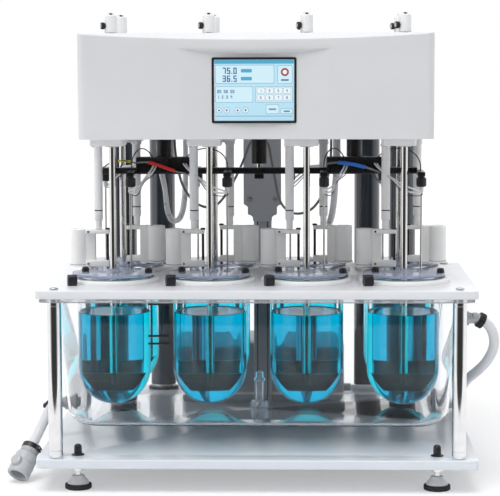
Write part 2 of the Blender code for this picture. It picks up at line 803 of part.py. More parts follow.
def make_finishes():
    """Materials of the real pieces."""
    return {
        "white": material("white_coated", (0.88, 0.89, 0.91), 0.35),
        "housing": material("head_paint", (0.80, 0.81, 0.83), 0.40),
        "chrome": material("polished_steel", (0.75, 0.75, 0.76), 0.12, 1.0),
        "slate": material("slate_paint", (0.24, 0.28, 0.33), 0.40),
        "grey": material("grey_paint", (0.50, 0.53, 0.57), 0.45),
        "black": material("black_plastic", (0.03, 0.03, 0.035), 0.45),
        "rubber": material("black_rubber", (0.02, 0.02, 0.02), 0.75),
        "glass": material("vessel_glass", (0.90, 0.95, 0.97), 0.02, 0.0, 0.35),
        "clear": material("clear_plastic", (0.90, 0.94, 0.97), 0.06, 0.0, 0.35),
        "lid": material("lid_plastic", (0.72, 0.76, 0.90), 0.10, 0.0, 0.60),
        "nylon": material("white_plastic", (0.90, 0.90, 0.90), 0.45),
        "coupling": material("grey_plastic", (0.62, 0.64, 0.66), 0.50),
        "screen": material("screen_glass", (0.55, 0.80, 0.92), 0.10),
        "hose": material("hose_vinyl", (0.85, 0.87, 0.92), 0.25, 0.0, 0.60),
        "cable": material("cable_grey", (0.45, 0.45, 0.43), 0.50),
        "motor": material("motor_black", (0.06, 0.06, 0.07), 0.50),
    }


def build_base(finish):
    """Base plate, its four levelling feet with pads, and the caps on their studs."""
    foot_side = BASE_WIDTH / 2 - FOOT_SIDE_INSET
    foot_front = FRONT + FOOT_END_INSET
    places = corner_places(foot_side, foot_front, -foot_front)
    outline = rounded_rectangle(-BASE_WIDTH / 2, BASE_WIDTH / 2, FRONT, BACK, BASE_CORNER, 3)
    holes = [circle(x, y, STUD_RADIUS + GAP, SIDES_SMALL)
             for x in (-foot_side, foot_side) for y in (foot_front, -foot_front)]
    plate = flat_plate("base_plate", [outline] + holes, BASE_UNDERSIDE, BASE_TOP, finish["white"])
    smooth(finished(joined(plate, *guide_pieces())))

    cone_top = PAD_HEIGHT - GAP + FOOT_CONE_HEIGHT
    nut_top = BASE_UNDERSIDE - GAP
    cap_low = BASE_TOP + GAP
    cap_middle = cap_low + CAP_HEIGHT - CAP_RADIUS
    dome = [(CAP_RADIUS * math.sin(a), cap_middle + CAP_RADIUS * math.cos(a))
            for a in (0.0, math.pi / 4, math.pi / 2)]
    for number, place in enumerate(places, start=1):
        foot = turned(f"levelling_foot_{number}", dome + [
            (CAP_RADIUS, cap_low), (STUD_RADIUS, cap_low), (STUD_RADIUS, cone_top),
            (FOOT_CONE_TOP_RADIUS, cone_top),
            (FOOT_CONE_LOW_RADIUS, PAD_HEIGHT), (PAD_RADIUS, PAD_HEIGHT), (PAD_RADIUS, 0.0), (0.0, 0.0)],
            SIDES_SMALL, finish["rubber"])
        nut = cylinder("nut", FOOT_NUT_RADIUS, nut_top - FOOT_NUT_HEIGHT, nut_top, sides=6)
        foot.matrix_basis = place
        nut.matrix_basis = place @ nut.matrix_basis
        finished(joined(foot, nut))


def build_vessel_plate(finish):
    """Vessel plate with its eight holes, the posts below it, and the vessels' rings and clamp blocks."""
    half = PLATE_WIDTH / 2
    outline = rounded_rectangle(-half, half, FRONT, PLATE_BACK, PLATE_CORNER, 3)
    holes = [circle(place.translation.x, place.translation.y, PLATE_HOLE_RADIUS, SIDES_SMALL)
             for place in STATION_PLACES]
    plate = flat_plate("vessel_plate", [outline] + holes, PLATE_BOTTOM, PLATE_TOP, finish["white"])

    places = corner_places(half - POST_SIDE_INSET, FRONT + POST_END_INSET, PLATE_BACK - POST_END_INSET)
    post = cylinder("post", POST_RADIUS, BASE_TOP + GAP, PLATE_TOP - PLATE_THICKNESS / 2, sides=SIDES_SMALL)
    posts = group("posts", post, places, finish["chrome"])

    bore = VESSEL_RADIUS + GAP
    low = PLATE_TOP - GAP
    ring = turned("ring", [
        (bore, RING_TOP), (RING_TOP_RADIUS, RING_TOP), (RING_RADIUS, low), (bore, low)],
        SIDES_LARGE, closed=True)
    rings = group("rings", ring, STATION_PLACES, finish["nylon"])

    block = box("block", (CLAMP_BLOCK_SIDE, CLAMP_BLOCK_SIDE, CLAMP_BLOCK_HEIGHT),
                (CLAMP_BLOCK_X, CLAMP_BLOCK_Y, low + CLAMP_BLOCK_HEIGHT / 2))
    blocks = group("blocks", block, STATION_PLACES, finish["black"])
    smooth(finished(joined(plate, posts, rings, blocks)))


def vessel_outline():
    """From the inside of the round bottom up to the lip, then down the outside to the bottom."""
    lip_low = VESSEL_TOP - VESSEL_LIP_THICKNESS
    inner = VESSEL_RADIUS - VESSEL_WALL
    turn = [math.pi / 2 * i / ARC_STEPS for i in range(ARC_STEPS)]
    outside = [(VESSEL_RADIUS * math.cos(a), VESSEL_CENTRE - VESSEL_RADIUS * math.sin(a)) for a in turn]
    inside = [(inner * math.cos(a), VESSEL_CENTRE - inner * math.sin(a)) for a in reversed(turn)]
    rim = [(inner, VESSEL_TOP), (VESSEL_LIP_RADIUS, VESSEL_TOP), (VESSEL_LIP_RADIUS, lip_low),
           (VESSEL_RADIUS, lip_low)]
    return [(0.0, VESSEL_CENTRE - inner)] + inside + rim + outside + [(0.0, VESSEL_CENTRE - VESSEL_RADIUS)]


def build_vessels(finish):
    """Eight round-bottomed vessels that share one mesh."""
    first = baked(turned("vessel", vessel_outline(), SIDES_LARGE, finish["glass"]))
    smooth(first)
    for number, row, place in STATIONS:
        vessel = link(f"vessel_{number}", first.data)
        vessel.matrix_basis = place
    bpy.data.objects.remove(first, do_unlink=True)


def build_lids(finish):
    """Evaporation lids with a shaft collar, a sampling hole and two knobs, each with its dispenser."""
    hole = LID_SHAFT_HOLE_RADIUS
    loops = [circle(0.0, 0.0, LID_RADIUS, SIDES_LARGE), circle(0.0, 0.0, hole, SIDES_SMALL),
             circle(SAMPLE_X, SAMPLE_Y, SAMPLE_HOLE_RADIUS, SIDES_THIN)]
    lid = flat_plate("lid", loops, LID_BOTTOM, LID_TOP, finish["lid"])
    collar = turned("collar", [
        (hole + GAP, LID_TOP + LID_COLLAR_HEIGHT), (hole + LID_COLLAR_WIDTH, LID_TOP + LID_COLLAR_HEIGHT),
        (hole + LID_COLLAR_WIDTH, LID_TOP - GAP), (hole + GAP, LID_TOP - GAP)], SIDES_SMALL, closed=True)
    low = LID_TOP - GAP
    high = LID_TOP + LID_KNOB_HEIGHT
    knobs = [cylinder("knob", LID_KNOB_RADIUS, low, high, x, y, SIDES_THIN)
             for x, y in ((LID_KNOB_LEFT_X, LID_KNOB_LEFT_Y), (LID_KNOB_RIGHT_X, LID_KNOB_RIGHT_Y))]
    first = smooth(finished(joined(lid, collar, *knobs, *dispenser_pieces())))
    for number, row, place in STATIONS:
        link(f"dosing_lid_{number}", first.data).matrix_basis = place
    bpy.data.objects.remove(first, do_unlink=True)


def dispenser_pieces():
    """The tablet dispenser on a lid: drum, foot and the open bracket that takes the probe tube."""
    flange_low = LID_TOP + DISPENSER_STANDOFF
    drum_low = flange_low + DISPENSER_FLANGE_THICKNESS
    drum_top = drum_low + DISPENSER_HEIGHT
    drum = turned("drum", [
        (0.0, drum_top), (DISPENSER_RADIUS, drum_top), (DISPENSER_RADIUS, flange_low), (0.0, flange_low)],
        SIDES_SMALL)
    drum.location = (DISPENSER_X, DISPENSER_Y, 0.0)
    left = DISPENSER_X + BRACKET_LEFT
    right = left + BRACKET_LENGTH
    post_right = DISPENSER_X + DISPENSER_RADIUS + BRACKET_POST_WIDTH
    arm_low = drum_top - BRACKET_ARM_THICKNESS
    foot_top = flange_low + BRACKET_FOOT_THICKNESS
    profile = [(left, flange_low), (right, flange_low), (right, foot_top), (post_right, foot_top),
               (post_right, arm_low), (right, arm_low), (right, drum_top - GAP), (left, drum_top - GAP)]
    bracket = flat_plate("bracket", [profile], -BRACKET_DEPTH / 2, BRACKET_DEPTH / 2)
    bracket.rotation_euler = (math.pi / 2, 0.0, 0.0)
    bracket.location = (0.0, TUBE_Y, 0.0)
    foot = cylinder("foot", DISPENSER_RADIUS / 2, LID_TOP - GAP, flange_low + GAP, TUBE_X,
                    TUBE_Y - BRACKET_DEPTH / 4, SIDES_THIN)
    return bracket, drum, foot


def tank_section(drop):
    """Half width, front and back of the tank's outside at a depth below its flange."""
    lean = TANK_DRAFT * drop / (TANK_TOP - TANK_BOTTOM)
    return TANK_HALF_WIDTH - lean, TANK_FRONT + lean, TANK_BACK - lean


def tank_shell():
    """Open tank body: rounded sections from the flange down to the floor, closed at the floor."""
    floor_start = TANK_BOTTOM + TANK_FLOOR_RADIUS
    levels = [(TANK_TOP - TANK_FLANGE_THICKNESS / 2, 0.0), (floor_start, 0.0)]
    for i in range(1, ARC_STEPS + 1):
        a = math.pi / 2 * i / ARC_STEPS
        levels.append((TANK_BOTTOM + TANK_FLOOR_RADIUS * (1 - math.sin(a)),
                       TANK_FLOOR_RADIUS * (1 - math.cos(a))))
    bm = bmesh.new()
    rows = []
    for level, inset in levels:
        half, front, back = tank_section(TANK_TOP - level)
        points = rounded_rectangle(-half + inset, half - inset, front + inset, back - inset,
                                   TANK_CORNER_RADIUS - inset)
        rows.append([bm.verts.new((x, y, level)) for x, y in points])
    for upper, lower in zip(rows, rows[1:]):
        for i in range(len(upper)):
            j = (i + 1) % len(upper)
            bm.faces.new((upper[i], lower[i], lower[j], upper[j]))
    bm.faces.new(list(reversed(rows[-1])))
    mesh = bpy.data.meshes.new("tank_shell")
    bm.to_mesh(mesh)
    bm.free()
    shell = link("tank_shell", mesh)
    wall = shell.modifiers.new("wall", "SOLIDIFY")
    wall.thickness = TANK_WALL
    wall.offset = -1.0
    wall.use_even_offset = True
    return baked(shell)


def wall_at(level):
    """Half width of the tank's outside at a level."""
    return tank_section(TANK_TOP - level)[0]


def along_x(name, radius, start, end, y, z, sides=FITTING_SIDES):
    """A cylinder that lies along X."""
    made = cylinder(name, radius, -(end - start) / 2, (end - start) / 2, sides=sides)
    made.rotation_euler = (0.0, math.pi / 2, 0.0)
    made.location = ((start + end) / 2, y, z)
    return made


DRAIN_Y = FRONT_ROW_Y + DRAIN_BEHIND_FRONT_ROW
FILLER_Y = FRONT_ROW_Y - FILLER_BEFORE_FRONT_ROW
DRAIN_FACE = -wall_at(TANK_TOP - TANK_FLANGE_THICKNESS) + TANK_BOSS_LENGTH / 2
FILLER_FACE = wall_at(FILLER_HEIGHT) + TANK_WALL


def build_tank(finish):
    """Moulded tank with its flange, the bosses of the two hose fittings, and the fittings themselves."""
    half = PLATE_WIDTH / 2 - TANK_FLANGE_INSET
    low = TANK_TOP - TANK_FLANGE_THICKNESS
    inner_half, inner_front, inner_back = tank_section(TANK_FLANGE_THICKNESS)
    lip = TANK_WALL / 2
    front = FRONT + TANK_FLANGE_INSET
    back = PLATE_BACK - TANK_FLANGE_INSET
    outline = rounded_rectangle(-half, half, front, back, TANK_FLANGE_CORNER, 2)
    opening = rounded_rectangle(-inner_half + lip, inner_half - lip, inner_front + lip, inner_back - lip,
                                TANK_CORNER_RADIUS - lip)
    post_x = PLATE_WIDTH / 2 - POST_SIDE_INSET
    post_front = FRONT + POST_END_INSET
    post_back = PLATE_BACK - POST_END_INSET
    holes = [circle(x, y, POST_RADIUS + 3 * GAP, SIDES_SMALL)
             for x in (-post_x, post_x) for y in (post_front, post_back)]
    tank = flat_plate("water_tank", [outline, opening] + holes, low, TANK_TOP, finish["clear"])
    drain_in = DRAIN_FACE + TANK_BOSS_LENGTH
    drain_boss = along_x("drain_boss", TANK_BOSS_RADIUS, DRAIN_FACE, drain_in, DRAIN_Y, DRAIN_HEIGHT)
    filler_in = FILLER_FACE - 3 * TANK_BOSS_LENGTH / 4
    filler_boss = along_x("filler_boss", TANK_BOSS_RADIUS, filler_in, FILLER_FACE, FILLER_Y, FILLER_HEIGHT)
    tank = baked(welded(tank, tank_shell(), drain_boss, filler_boss))
    drop_tools()
    reach = STEM_RADIUS + GAP
    drain_bore = along_x("drain_bore", reach, DRAIN_FACE - CUT_OVERRUN, drain_in + CUT_OVERRUN,
                         DRAIN_Y, DRAIN_HEIGHT)
    filler_bore = along_x("filler_bore", reach, filler_in - CUT_OVERRUN, FILLER_FACE + CUT_OVERRUN,
                          FILLER_Y, FILLER_HEIGHT)
    smooth(finished(cut(tank, drain_bore, filler_bore)))

    low = TANK_BOTTOM + TANK_WALL + GAP
    collar = low + JET_COLLAR_RISE
    jet = turned("circulation_jet", [
        (0.0, low + JET_HEIGHT), (JET_STEM_RADIUS, low + JET_HEIGHT),
        (JET_STEM_RADIUS, collar + JET_COLLAR_HEIGHT), (JET_COLLAR_RADIUS, collar + JET_COLLAR_HEIGHT),
        (JET_COLLAR_RADIUS, collar), (JET_STEM_RADIUS, collar), (JET_STEM_RADIUS, low + JET_BASE_HEIGHT),
        (JET_BASE_RADIUS, low + JET_BASE_HEIGHT), (JET_BASE_RADIUS, low), (0.0, low)], FITTING_SIDES,
        finish["chrome"])
    jet.location = (JET_X, FRONT_ROW_Y + JET_BEHIND_FRONT_ROW, 0.0)
    smooth(baked(jet))
    for label, face, inside, y, z, route in (
            ("drain_fitting", DRAIN_FACE, drain_in, DRAIN_Y, DRAIN_HEIGHT, drain_line()),
            ("filler_fitting", FILLER_FACE, filler_in, FILLER_Y, FILLER_HEIGHT, filler_line())):
        out = math.copysign(1.0, face)
        nut_face = -abs(face - inside) - GAP
        outline = [(0.0, FITTING_FLANGE_THICKNESS + GAP),
                   (FITTING_FLANGE_RADIUS, FITTING_FLANGE_THICKNESS + GAP),
                   (FITTING_FLANGE_RADIUS, GAP), (STEM_RADIUS, GAP), (STEM_RADIUS, nut_face)]
        if label == "filler_fitting":
            outline += [(INNER_NUT_RADIUS, nut_face), (INNER_NUT_RADIUS, nut_face - INNER_NUT_THICKNESS),
                        (0.0, nut_face - INNER_NUT_THICKNESS)]
        else:
            outline.append((0.0, nut_face))
        fitting = turned(label, outline, FITTING_SIDES, finish["chrome"])
        fitting.rotation_mode = "QUATERNION"
        fitting.rotation_quaternion = facing((out, 0.0, 0.0))
        fitting.location = (face, y, z)
        start = Vector(route[0])
        ahead = (Vector(route[1]) - start).normalized()
        corner = start - ahead * ELBOW_REACH
        neck = Vector((face + out * FITTING_FLANGE_THICKNESS / 2, y, z))
        extras = [strut("neck", neck, corner, ELBOW_RADIUS), ball("corner", corner, ELBOW_BALL_RADIUS),
                  strut("nozzle", corner, start - ahead * CUP_FLOOR / 2, ELBOW_RADIUS),
                  clamp_cup("cup", start, ahead)]
        smooth(finished(joined(fitting, *extras)))


def strut(name, start, end, radius, sides=FITTING_SIDES):
    """A cylinder from one point to another."""
    made = cylinder(name, radius, 0.0, (end - start).length, sides=sides)
    made.rotation_mode = "QUATERNION"
    made.rotation_quaternion = facing(end - start)
    made.location = (start + end) / 2
    return made


def ball(name, centre, radius):
    """A small sphere, as the corner of an elbow."""
    bm = bmesh.new()
    bmesh.ops.create_uvsphere(bm, u_segments=FITTING_SIDES, v_segments=SIDES_THIN, radius=radius)
    made = link(name, mesh_from(bm, name))
    made.location = centre
    return made


def clamp_cup(name, start, ahead):
    """A hose clamp on a nozzle: a cup open towards the hose, with two ears, over the hose's end."""
    inner = HOSE_RADIUS * HOSE_FACET_SHARE + GAP
    outer = inner + CLAMP_THICKNESS
    cup = turned(name, [
        (0.0, -GAP), (inner, -GAP), (inner, CLAMP_WIDTH), (outer, CLAMP_WIDTH), (outer, -CUP_FLOOR),
        (0.0, -CUP_FLOOR)], FITTING_SIDES)
    ears = [cylinder("ear", CLAMP_EAR_RADIUS, 0.0, CLAMP_WIDTH, side * CLAMP_EAR_SPREAD / 2,
                     outer, SIDES_THIN) for side in (-1, 1)]
    cup = baked(joined(cup, *ears))
    for ear in ears:
        bpy.data.objects.remove(ear, do_unlink=True)
    cup.rotation_mode = "QUATERNION"
    cup.rotation_quaternion = facing(ahead)
    cup.location = start
    return cup


def anchored(route, start_shift, end_shift):
    """A route whose two ends are shifted, with the points between following in step."""
    last = len(route) - 1
    points = []
    for i, point in enumerate(route):
        shift = [first + (end - first) * i / last for first, end in zip(start_shift, end_shift)]
        points.append(tuple(place + by for place, by in zip(point, shift)))
    return points


def drain_line():
    """Points along the drain hose, from its fitting to the coupling that lies by the base."""
    drawn_face, drawn_y, drawn_z = DRAIN_DRAWN_AT
    shift = (DRAIN_FACE - drawn_face, DRAIN_Y - drawn_y, DRAIN_HEIGHT - drawn_z)
    return smooth_route(anchored(DRAIN_ROUTE, shift, (shift[0], shift[1], 0.0)), HOSE_STEP / 2)


def filler_line():
    """Points along the filler hose, from its fitting to the port of the circulator."""
    drawn_face, drawn_y, drawn_z = FILLER_DRAWN_AT
    port_face, port_y, port_z = PORT_DRAWN_AT
    shift = (FILLER_FACE - drawn_face, FILLER_Y - drawn_y, FILLER_HEIGHT - drawn_z)
    end = (CASE_WIDTH / 2 + CASE_PORT_LENGTH - port_face, CASE_BACK - CASE_DEPTH * CASE_PORT_SHARE - port_y,
           CASE_BOTTOM + CASE_PORT_RISE - port_z)
    return smooth_route(anchored(FILLER_ROUTE, shift, end), HOSE_STEP)


def hung(route):
    """A route under the head, shifted with the gap between the middle columns and the head's underside."""
    drawn_pitch, drawn_y, drawn_z = LOOPS_DRAWN_AT
    lift = HEAD_BOTTOM - drawn_z
    back = FRONT_ROW_Y - drawn_y
    shifts = [(math.copysign(STATION_PITCH - drawn_pitch, route[i][0]), back, lift) for i in (0, -1)]
    return anchored(route, *shifts)


def build_hoses(finish):
    """Drain hose with its quick coupling and latch, and the filler hose to the circulator."""
    drain = drain_line()
    tube("drain_hose", drain, HOSE_RADIUS, finish["hose"])
    tube("filler_hose", filler_line(), HOSE_RADIUS, finish["hose"])

    end = Vector(drain[-1])
    ahead = (end - Vector(drain[-2])).normalized()
    length = COUPLING_BODY_LENGTH + COUPLING_NECK_LENGTH
    chamfer = COUPLING_CHAMFER
    inner = HOSE_RADIUS * HOSE_FACET_SHARE + GAP
    outer = inner + CLAMP_THICKNESS
    body = turned("quick_coupling", [
        (0.0, -GAP), (inner, -GAP), (inner, CLAMP_WIDTH), (outer, CLAMP_WIDTH), (outer, -CUP_FLOOR),
        (COUPLING_NECK_RADIUS, -CUP_FLOOR), (COUPLING_NECK_RADIUS, -COUPLING_NECK_LENGTH),
        (COUPLING_RADIUS, -COUPLING_NECK_LENGTH - chamfer), (COUPLING_RADIUS, -length + chamfer),
        (COUPLING_RADIUS - chamfer, -length), (COUPLING_BORE + chamfer, -length),
        (COUPLING_BORE, -length + chamfer), (COUPLING_BORE, -length + COUPLING_BORE_DEPTH),
        (0.0, -length + COUPLING_BORE_DEPTH)], SIDES_MEDIUM, finish["coupling"])
    middle = -length + LATCH_FROM_MOUTH
    seat = COUPLING_RADIUS - LATCH_SINK
    well = cylinder("well", LATCH_RADIUS + GAP, seat - GAP, COUPLING_RADIUS + LATCH_HEIGHT,
                    sides=SIDES_MEDIUM)
    button = cylinder("coupling_latch", LATCH_RADIUS, seat + LATCH_TRAVEL, seat + LATCH_TRAVEL + LATCH_HEIGHT,
                      sides=SIDES_MEDIUM, finish=finish["coupling"])
    whole = Matrix.Translation(end) @ facing(-ahead).to_matrix().to_4x4()
    to_side = Matrix.Translation((0.0, 0.0, middle)) @ Matrix.Rotation(LATCH_TURN, 4, "Z") \
        @ Matrix.Rotation(math.pi / 2, 4, "X")
    for piece in (well, button):
        piece.matrix_basis = whole @ to_side @ piece.matrix_basis
    body.matrix_basis = whole
    smooth(finished(cut(body, well)))
    smooth(baked(button))


def column_points():
    """The places of the four lift columns."""
    return [(side * x, y) for x, y in ((OUTER_COLUMN_X, OUTER_COLUMN_Y), (INNER_COLUMN_X, INNER_COLUMN_Y))
            for side in (-1, 1)]


def guide_pieces():
    """The rods and the middle mast that stand on the base and guide the head."""
    places = [Matrix.Translation((x, y, 0.0)) for x, y in column_points()]
    low = BASE_TOP - GAP
    bore = SLEEVE_RADIUS - SLEEVE_WALL
    rod_top = BASE_TOP + GUIDE_ROD_HEIGHT
    rod = turned("rod", [
        (0.0, rod_top), (bore - GAP, rod_top), (bore - GAP, BASE_TOP + ROD_FOOT_HEIGHT),
        (ROD_FOOT_RADIUS, BASE_TOP + ROD_FOOT_HEIGHT), (ROD_FOOT_RADIUS, low), (0.0, low)], SIDES_LARGE)
    rods = group("rods", rod, places, None)
    half_width = MAST_WIDTH / 2
    half_depth = MAST_DEPTH / 2
    outline = rounded_rectangle(-half_width, half_width, MAST_Y - half_depth, MAST_Y + half_depth,
                                MAST_CORNER, 1)
    in_width = half_width - MAST_WALL
    in_depth = half_depth - MAST_WALL
    bore_loop = [(-in_width, MAST_Y - in_depth), (in_width, MAST_Y - in_depth),
                 (in_width, MAST_Y + in_depth), (-in_width, MAST_Y + in_depth)]
    mast = flat_plate("mast", [outline, bore_loop], low, BASE_TOP + MAST_HEIGHT)
    return rods, mast


def sleeve_pieces():
    """The four sleeves that hang from the head over the rods, as thick tubes with round bores."""
    places = [Matrix.Translation((x, y, 0.0)) for x, y in column_points()]
    bore = SLEEVE_RADIUS - SLEEVE_WALL
    sleeve = turned("sleeve", [
        (bore, HEAD_BOTTOM + GAP), (SLEEVE_RADIUS, HEAD_BOTTOM + GAP),
        (SLEEVE_RADIUS, BASE_TOP + SLEEVE_LOW_END), (bore, BASE_TOP + SLEEVE_LOW_END)],
        SIDES_LARGE, closed=True)
    return group("sleeves", sleeve, places, None)


def carriage_piece():
    """The middle carriage: stepped plate in front of the mast, its screws, and the ram inside the mast."""
    top = HEAD_BOTTOM + GAP
    half_depth = MAST_DEPTH / 2
    front = MAST_Y - half_depth - GAP - CARRIAGE_THICKNESS
    back = front + CARRIAGE_THICKNESS
    bottom = top - CARRIAGE_LENGTH
    shoulder = bottom + CARRIAGE_TIP
    waist = shoulder + CARRIAGE_SHOULDER
    wide = CARRIAGE_WIDTH / 2
    mid = CARRIAGE_WAIST_WIDTH / 2
    tip = CARRIAGE_TIP_WIDTH / 2
    profile = [(-tip, bottom), (tip, bottom), (tip, shoulder), (mid, shoulder), (mid, waist), (wide, waist),
               (wide, top), (-wide, top), (-wide, waist), (-mid, waist), (-mid, shoulder), (-tip, shoulder)]
    plate = flat_plate("carriage", [profile], -CARRIAGE_THICKNESS / 2, CARRIAGE_THICKNESS / 2)
    plate.rotation_euler = (math.pi / 2, 0.0, 0.0)
    plate.location = (0.0, (front + back) / 2, 0.0)
    in_width = MAST_WIDTH / 2 - MAST_WALL
    in_depth = half_depth - MAST_WALL
    ram = box("ram", (2 * (in_width - GAP), 2 * (in_depth - GAP), RAM_LENGTH),
              (0.0, MAST_Y, top - RAM_LENGTH / 2))
    pieces = [ram]
    for side in (-1, 1):
        screw = cylinder("screw", CARRIAGE_SCREW_RADIUS, -CARRIAGE_SCREW_HEAD, CARRIAGE_SCREW_HEAD,
                         sides=SIDES_SMALL)
        screw.rotation_euler = (math.pi / 2, 0.0, 0.0)
        screw.location = (side * CARRIAGE_SCREW_SPREAD / 2, front, shoulder + CARRIAGE_SCREW_RISE)
        pieces.append(screw)
    return [plate] + pieces


def build_case(finish):
    """Circulator case behind the tank, with its hose port, slots, mains inlet and rocker switch."""
    front = CASE_BACK - CASE_DEPTH
    middle = (0.0, (front + CASE_BACK) / 2, CASE_BOTTOM + CASE_HEIGHT / 2)
    case = box("circulator_case", (CASE_WIDTH, CASE_DEPTH, CASE_HEIGHT), middle, CASE_EDGE, 2,
               finish["grey"])
    port_start = CASE_WIDTH / 2 - CASE_EDGE / 4
    port_y = CASE_BACK - CASE_DEPTH * CASE_PORT_SHARE
    port_z = CASE_BOTTOM + CASE_PORT_RISE
    port = along_x("port", CASE_PORT_RADIUS, port_start, CASE_WIDTH / 2 + CASE_PORT_LENGTH, port_y, port_z)
    tools = []
    for i in range(CASE_SLOT_COUNT):
        z = CASE_BOTTOM + CASE_HEIGHT / 2 + (i - (CASE_SLOT_COUNT - 1) / 2) * CASE_SLOT_PITCH
        tools.append(box("slot", (CASE_SLOT_LENGTH, 2 * CASE_SLOT_DEPTH, CASE_SLOT_WIDTH),
                         (CASE_SLOT_X, CASE_BACK, z)))
    inlet_z = CASE_BOTTOM + CASE_HEIGHT - INLET_RISE
    well = box("inlet_well", (INLET_WIDTH + 2 * GAP, 2 * (INLET_DEPTH + GAP), INLET_HEIGHT + 2 * GAP),
               (INLET_X, CASE_BACK, inlet_z))
    rocker_well = box("rocker_well", (SWITCH_WIDTH + 2 * SWITCH_SIDE_GAP, 2 * SWITCH_DEPTH,
                                      SWITCH_HEIGHT + 2 * SWITCH_END_GAP), (SWITCH_X, CASE_BACK, inlet_z))
    joined(case, port)
    finished(cut(case, well, rocker_well, *tools))

    inlet = box("mains_inlet", (INLET_WIDTH, INLET_DEPTH, INLET_HEIGHT),
                (INLET_X, CASE_BACK - INLET_DEPTH / 2, inlet_z), 0.0, 1, finish["black"])
    lip = box("lip", (INLET_WIDTH + 2 * INLET_LIP, INLET_LIP_THICKNESS, INLET_HEIGHT + 2 * INLET_LIP),
              (INLET_X, CASE_BACK + GAP + INLET_LIP_THICKNESS / 2, inlet_z), INLET_LIP_THICKNESS / 4)
    bridge = box("bridge", (INLET_WIDTH, INLET_LIP_THICKNESS, INLET_HEIGHT),
                 (INLET_X, CASE_BACK, inlet_z))
    mouth = box("mouth", (INLET_WIDTH - 2 * INLET_LIP, 2 * INLET_WELL_DEPTH, INLET_HEIGHT - 2 * INLET_LIP),
                (INLET_X, CASE_BACK + INLET_LIP_THICKNESS, inlet_z))
    joined(inlet, bridge, lip)
    cut(inlet, mouth)
    pins = []
    for i in (-1, 0, 1):
        pins.append(box("pin", (INLET_PIN_WIDTH, INLET_WELL_DEPTH, INLET_PIN_HEIGHT),
                        (INLET_X + i * INLET_PIN_PITCH, CASE_BACK - INLET_WELL_DEPTH / 2, inlet_z)))
    finished(joined(inlet, *pins))

    half = SWITCH_HEIGHT / 2
    rise = half * math.tan(SWITCH_TILT)
    proud = SWITCH_CROWN
    profile = [(-half, -proud), (0.0, 0.0), (half, rise - proud / 2), (half, -SWITCH_DEPTH + 2 * proud),
               (-half, -SWITCH_DEPTH + 2 * proud)]
    rocker = flat_plate("power_switch", [profile], -SWITCH_WIDTH / 2, SWITCH_WIDTH / 2, finish["black"])
    frame = Matrix(((0.0, 0.0, 1.0, SWITCH_X), (0.0, 1.0, 0.0, CASE_BACK), (1.0, 0.0, 0.0, inlet_z),
                    (0.0, 0.0, 0.0, 1.0)))
    rocker.data.transform(frame)
    rocker.data.flip_normals()


def share_across(x, half_width):
    """One at the middle of the head, none at the given half width, along a parabola."""
    return max(0.0, 1.0 - (x / half_width) ** 2)


def head_sections():
    """X places and setbacks of the head's cross-sections: round corners, then even steps across."""
    half = HEAD_WIDTH / 2
    corner = [(half - HEAD_CORNER + HEAD_CORNER * math.sin(a), HEAD_CORNER * (1.0 - math.cos(a)))
              for a in (math.pi / 2, math.pi / 3, math.pi / 6, 0.0)]
    wings = [half * share for share in WING_SHARES]
    scoop = [SCOOP_HALF_WIDTH * share for share in SCOOP_STEP_SHARES]
    right = corner + [(x, 0.0) for x in wings + scoop]
    left = [(-x, setback) for x, setback in right[:-1]]
    return sorted(left + right)


def scoop_share(x):
    """How deep the scoop is at a place across the head, as a share of its deepest."""
    return share_across(x, SCOOP_HALF_WIDTH)


def head_section(x, setback):
    """The head's side outline at one place across: up the front, over the brow and back along the top."""
    depth = SCOOP_DEPTH * scoop_share(x)
    brow = BROW_EDGE + (BROW_DROP - BROW_EDGE) * share_across(x, HEAD_WIDTH / 2)
    slope = BROW_EDGE + (BROW_DEPTH - BROW_EDGE) * share_across(x, HEAD_WIDTH / 2)
    face = FRONT + setback
    ledge = HEAD_TOP - SCOOP_TOP_BELOW_HEAD_TOP
    dip = SCOOP_EDGE + SCOOP_LEDGE_DROP * scoop_share(x)
    return [(face + depth, HEAD_BOTTOM), (face + depth, ledge - dip), (face, ledge),
            (face, HEAD_TOP - brow), (face + slope, HEAD_TOP), (HEAD_SPLIT - GAP, HEAD_TOP),
            (HEAD_SPLIT - GAP, HEAD_BOTTOM)]


def build_head_cover(finish):
    """Front and top moulding of the head: sculpted shell with the screen window and eight chuck holes."""
    bm = bmesh.new()
    rows = []
    for x, setback in head_sections():
        rows.append([bm.verts.new((x, y, z)) for y, z in head_section(x, setback)])
    count = len(rows[0])
    for left, right in zip(rows, rows[1:]):
        for i in range(count - 2):
            bm.faces.new((left[i], right[i], right[i + 1], left[i + 1]))
    bm.faces.new(list(reversed(rows[0])))
    bm.faces.new(rows[-1])
    bmesh.ops.recalc_face_normals(bm, faces=bm.faces)
    mesh = bpy.data.meshes.new("head_cover")
    bm.to_mesh(mesh)
    bm.free()
    cover = link("head_cover", mesh, finish["housing"])
    wall = cover.modifiers.new("wall", "SOLIDIFY")
    wall.thickness = HEAD_SHELL
    wall.offset = -1.0
    wall.use_even_offset = True
    screen_z = HEAD_TOP - SCREEN_MIDDLE_BELOW_HEAD_TOP
    window = box("window", (SCREEN_WIDTH + 2 * GAP, 2 * SCREEN_FRAME_DEPTH, SCREEN_HEIGHT + 2 * GAP),
                 (SCREEN_X, FRONT + SCOOP_DEPTH, screen_z))
    tools = [window]
    for place in STATION_PLACES:
        x, y, _ = place.translation
        tools.append(cylinder("hole", HUB_HOLE_RADIUS, HEAD_TOP - HEAD_SHELL - CUT_OVERRUN,
                              HEAD_TOP + CUT_OVERRUN, x, y, SIDES_MEDIUM))
    smooth(finished(cut(cover, *tools)), math.radians(25.0))


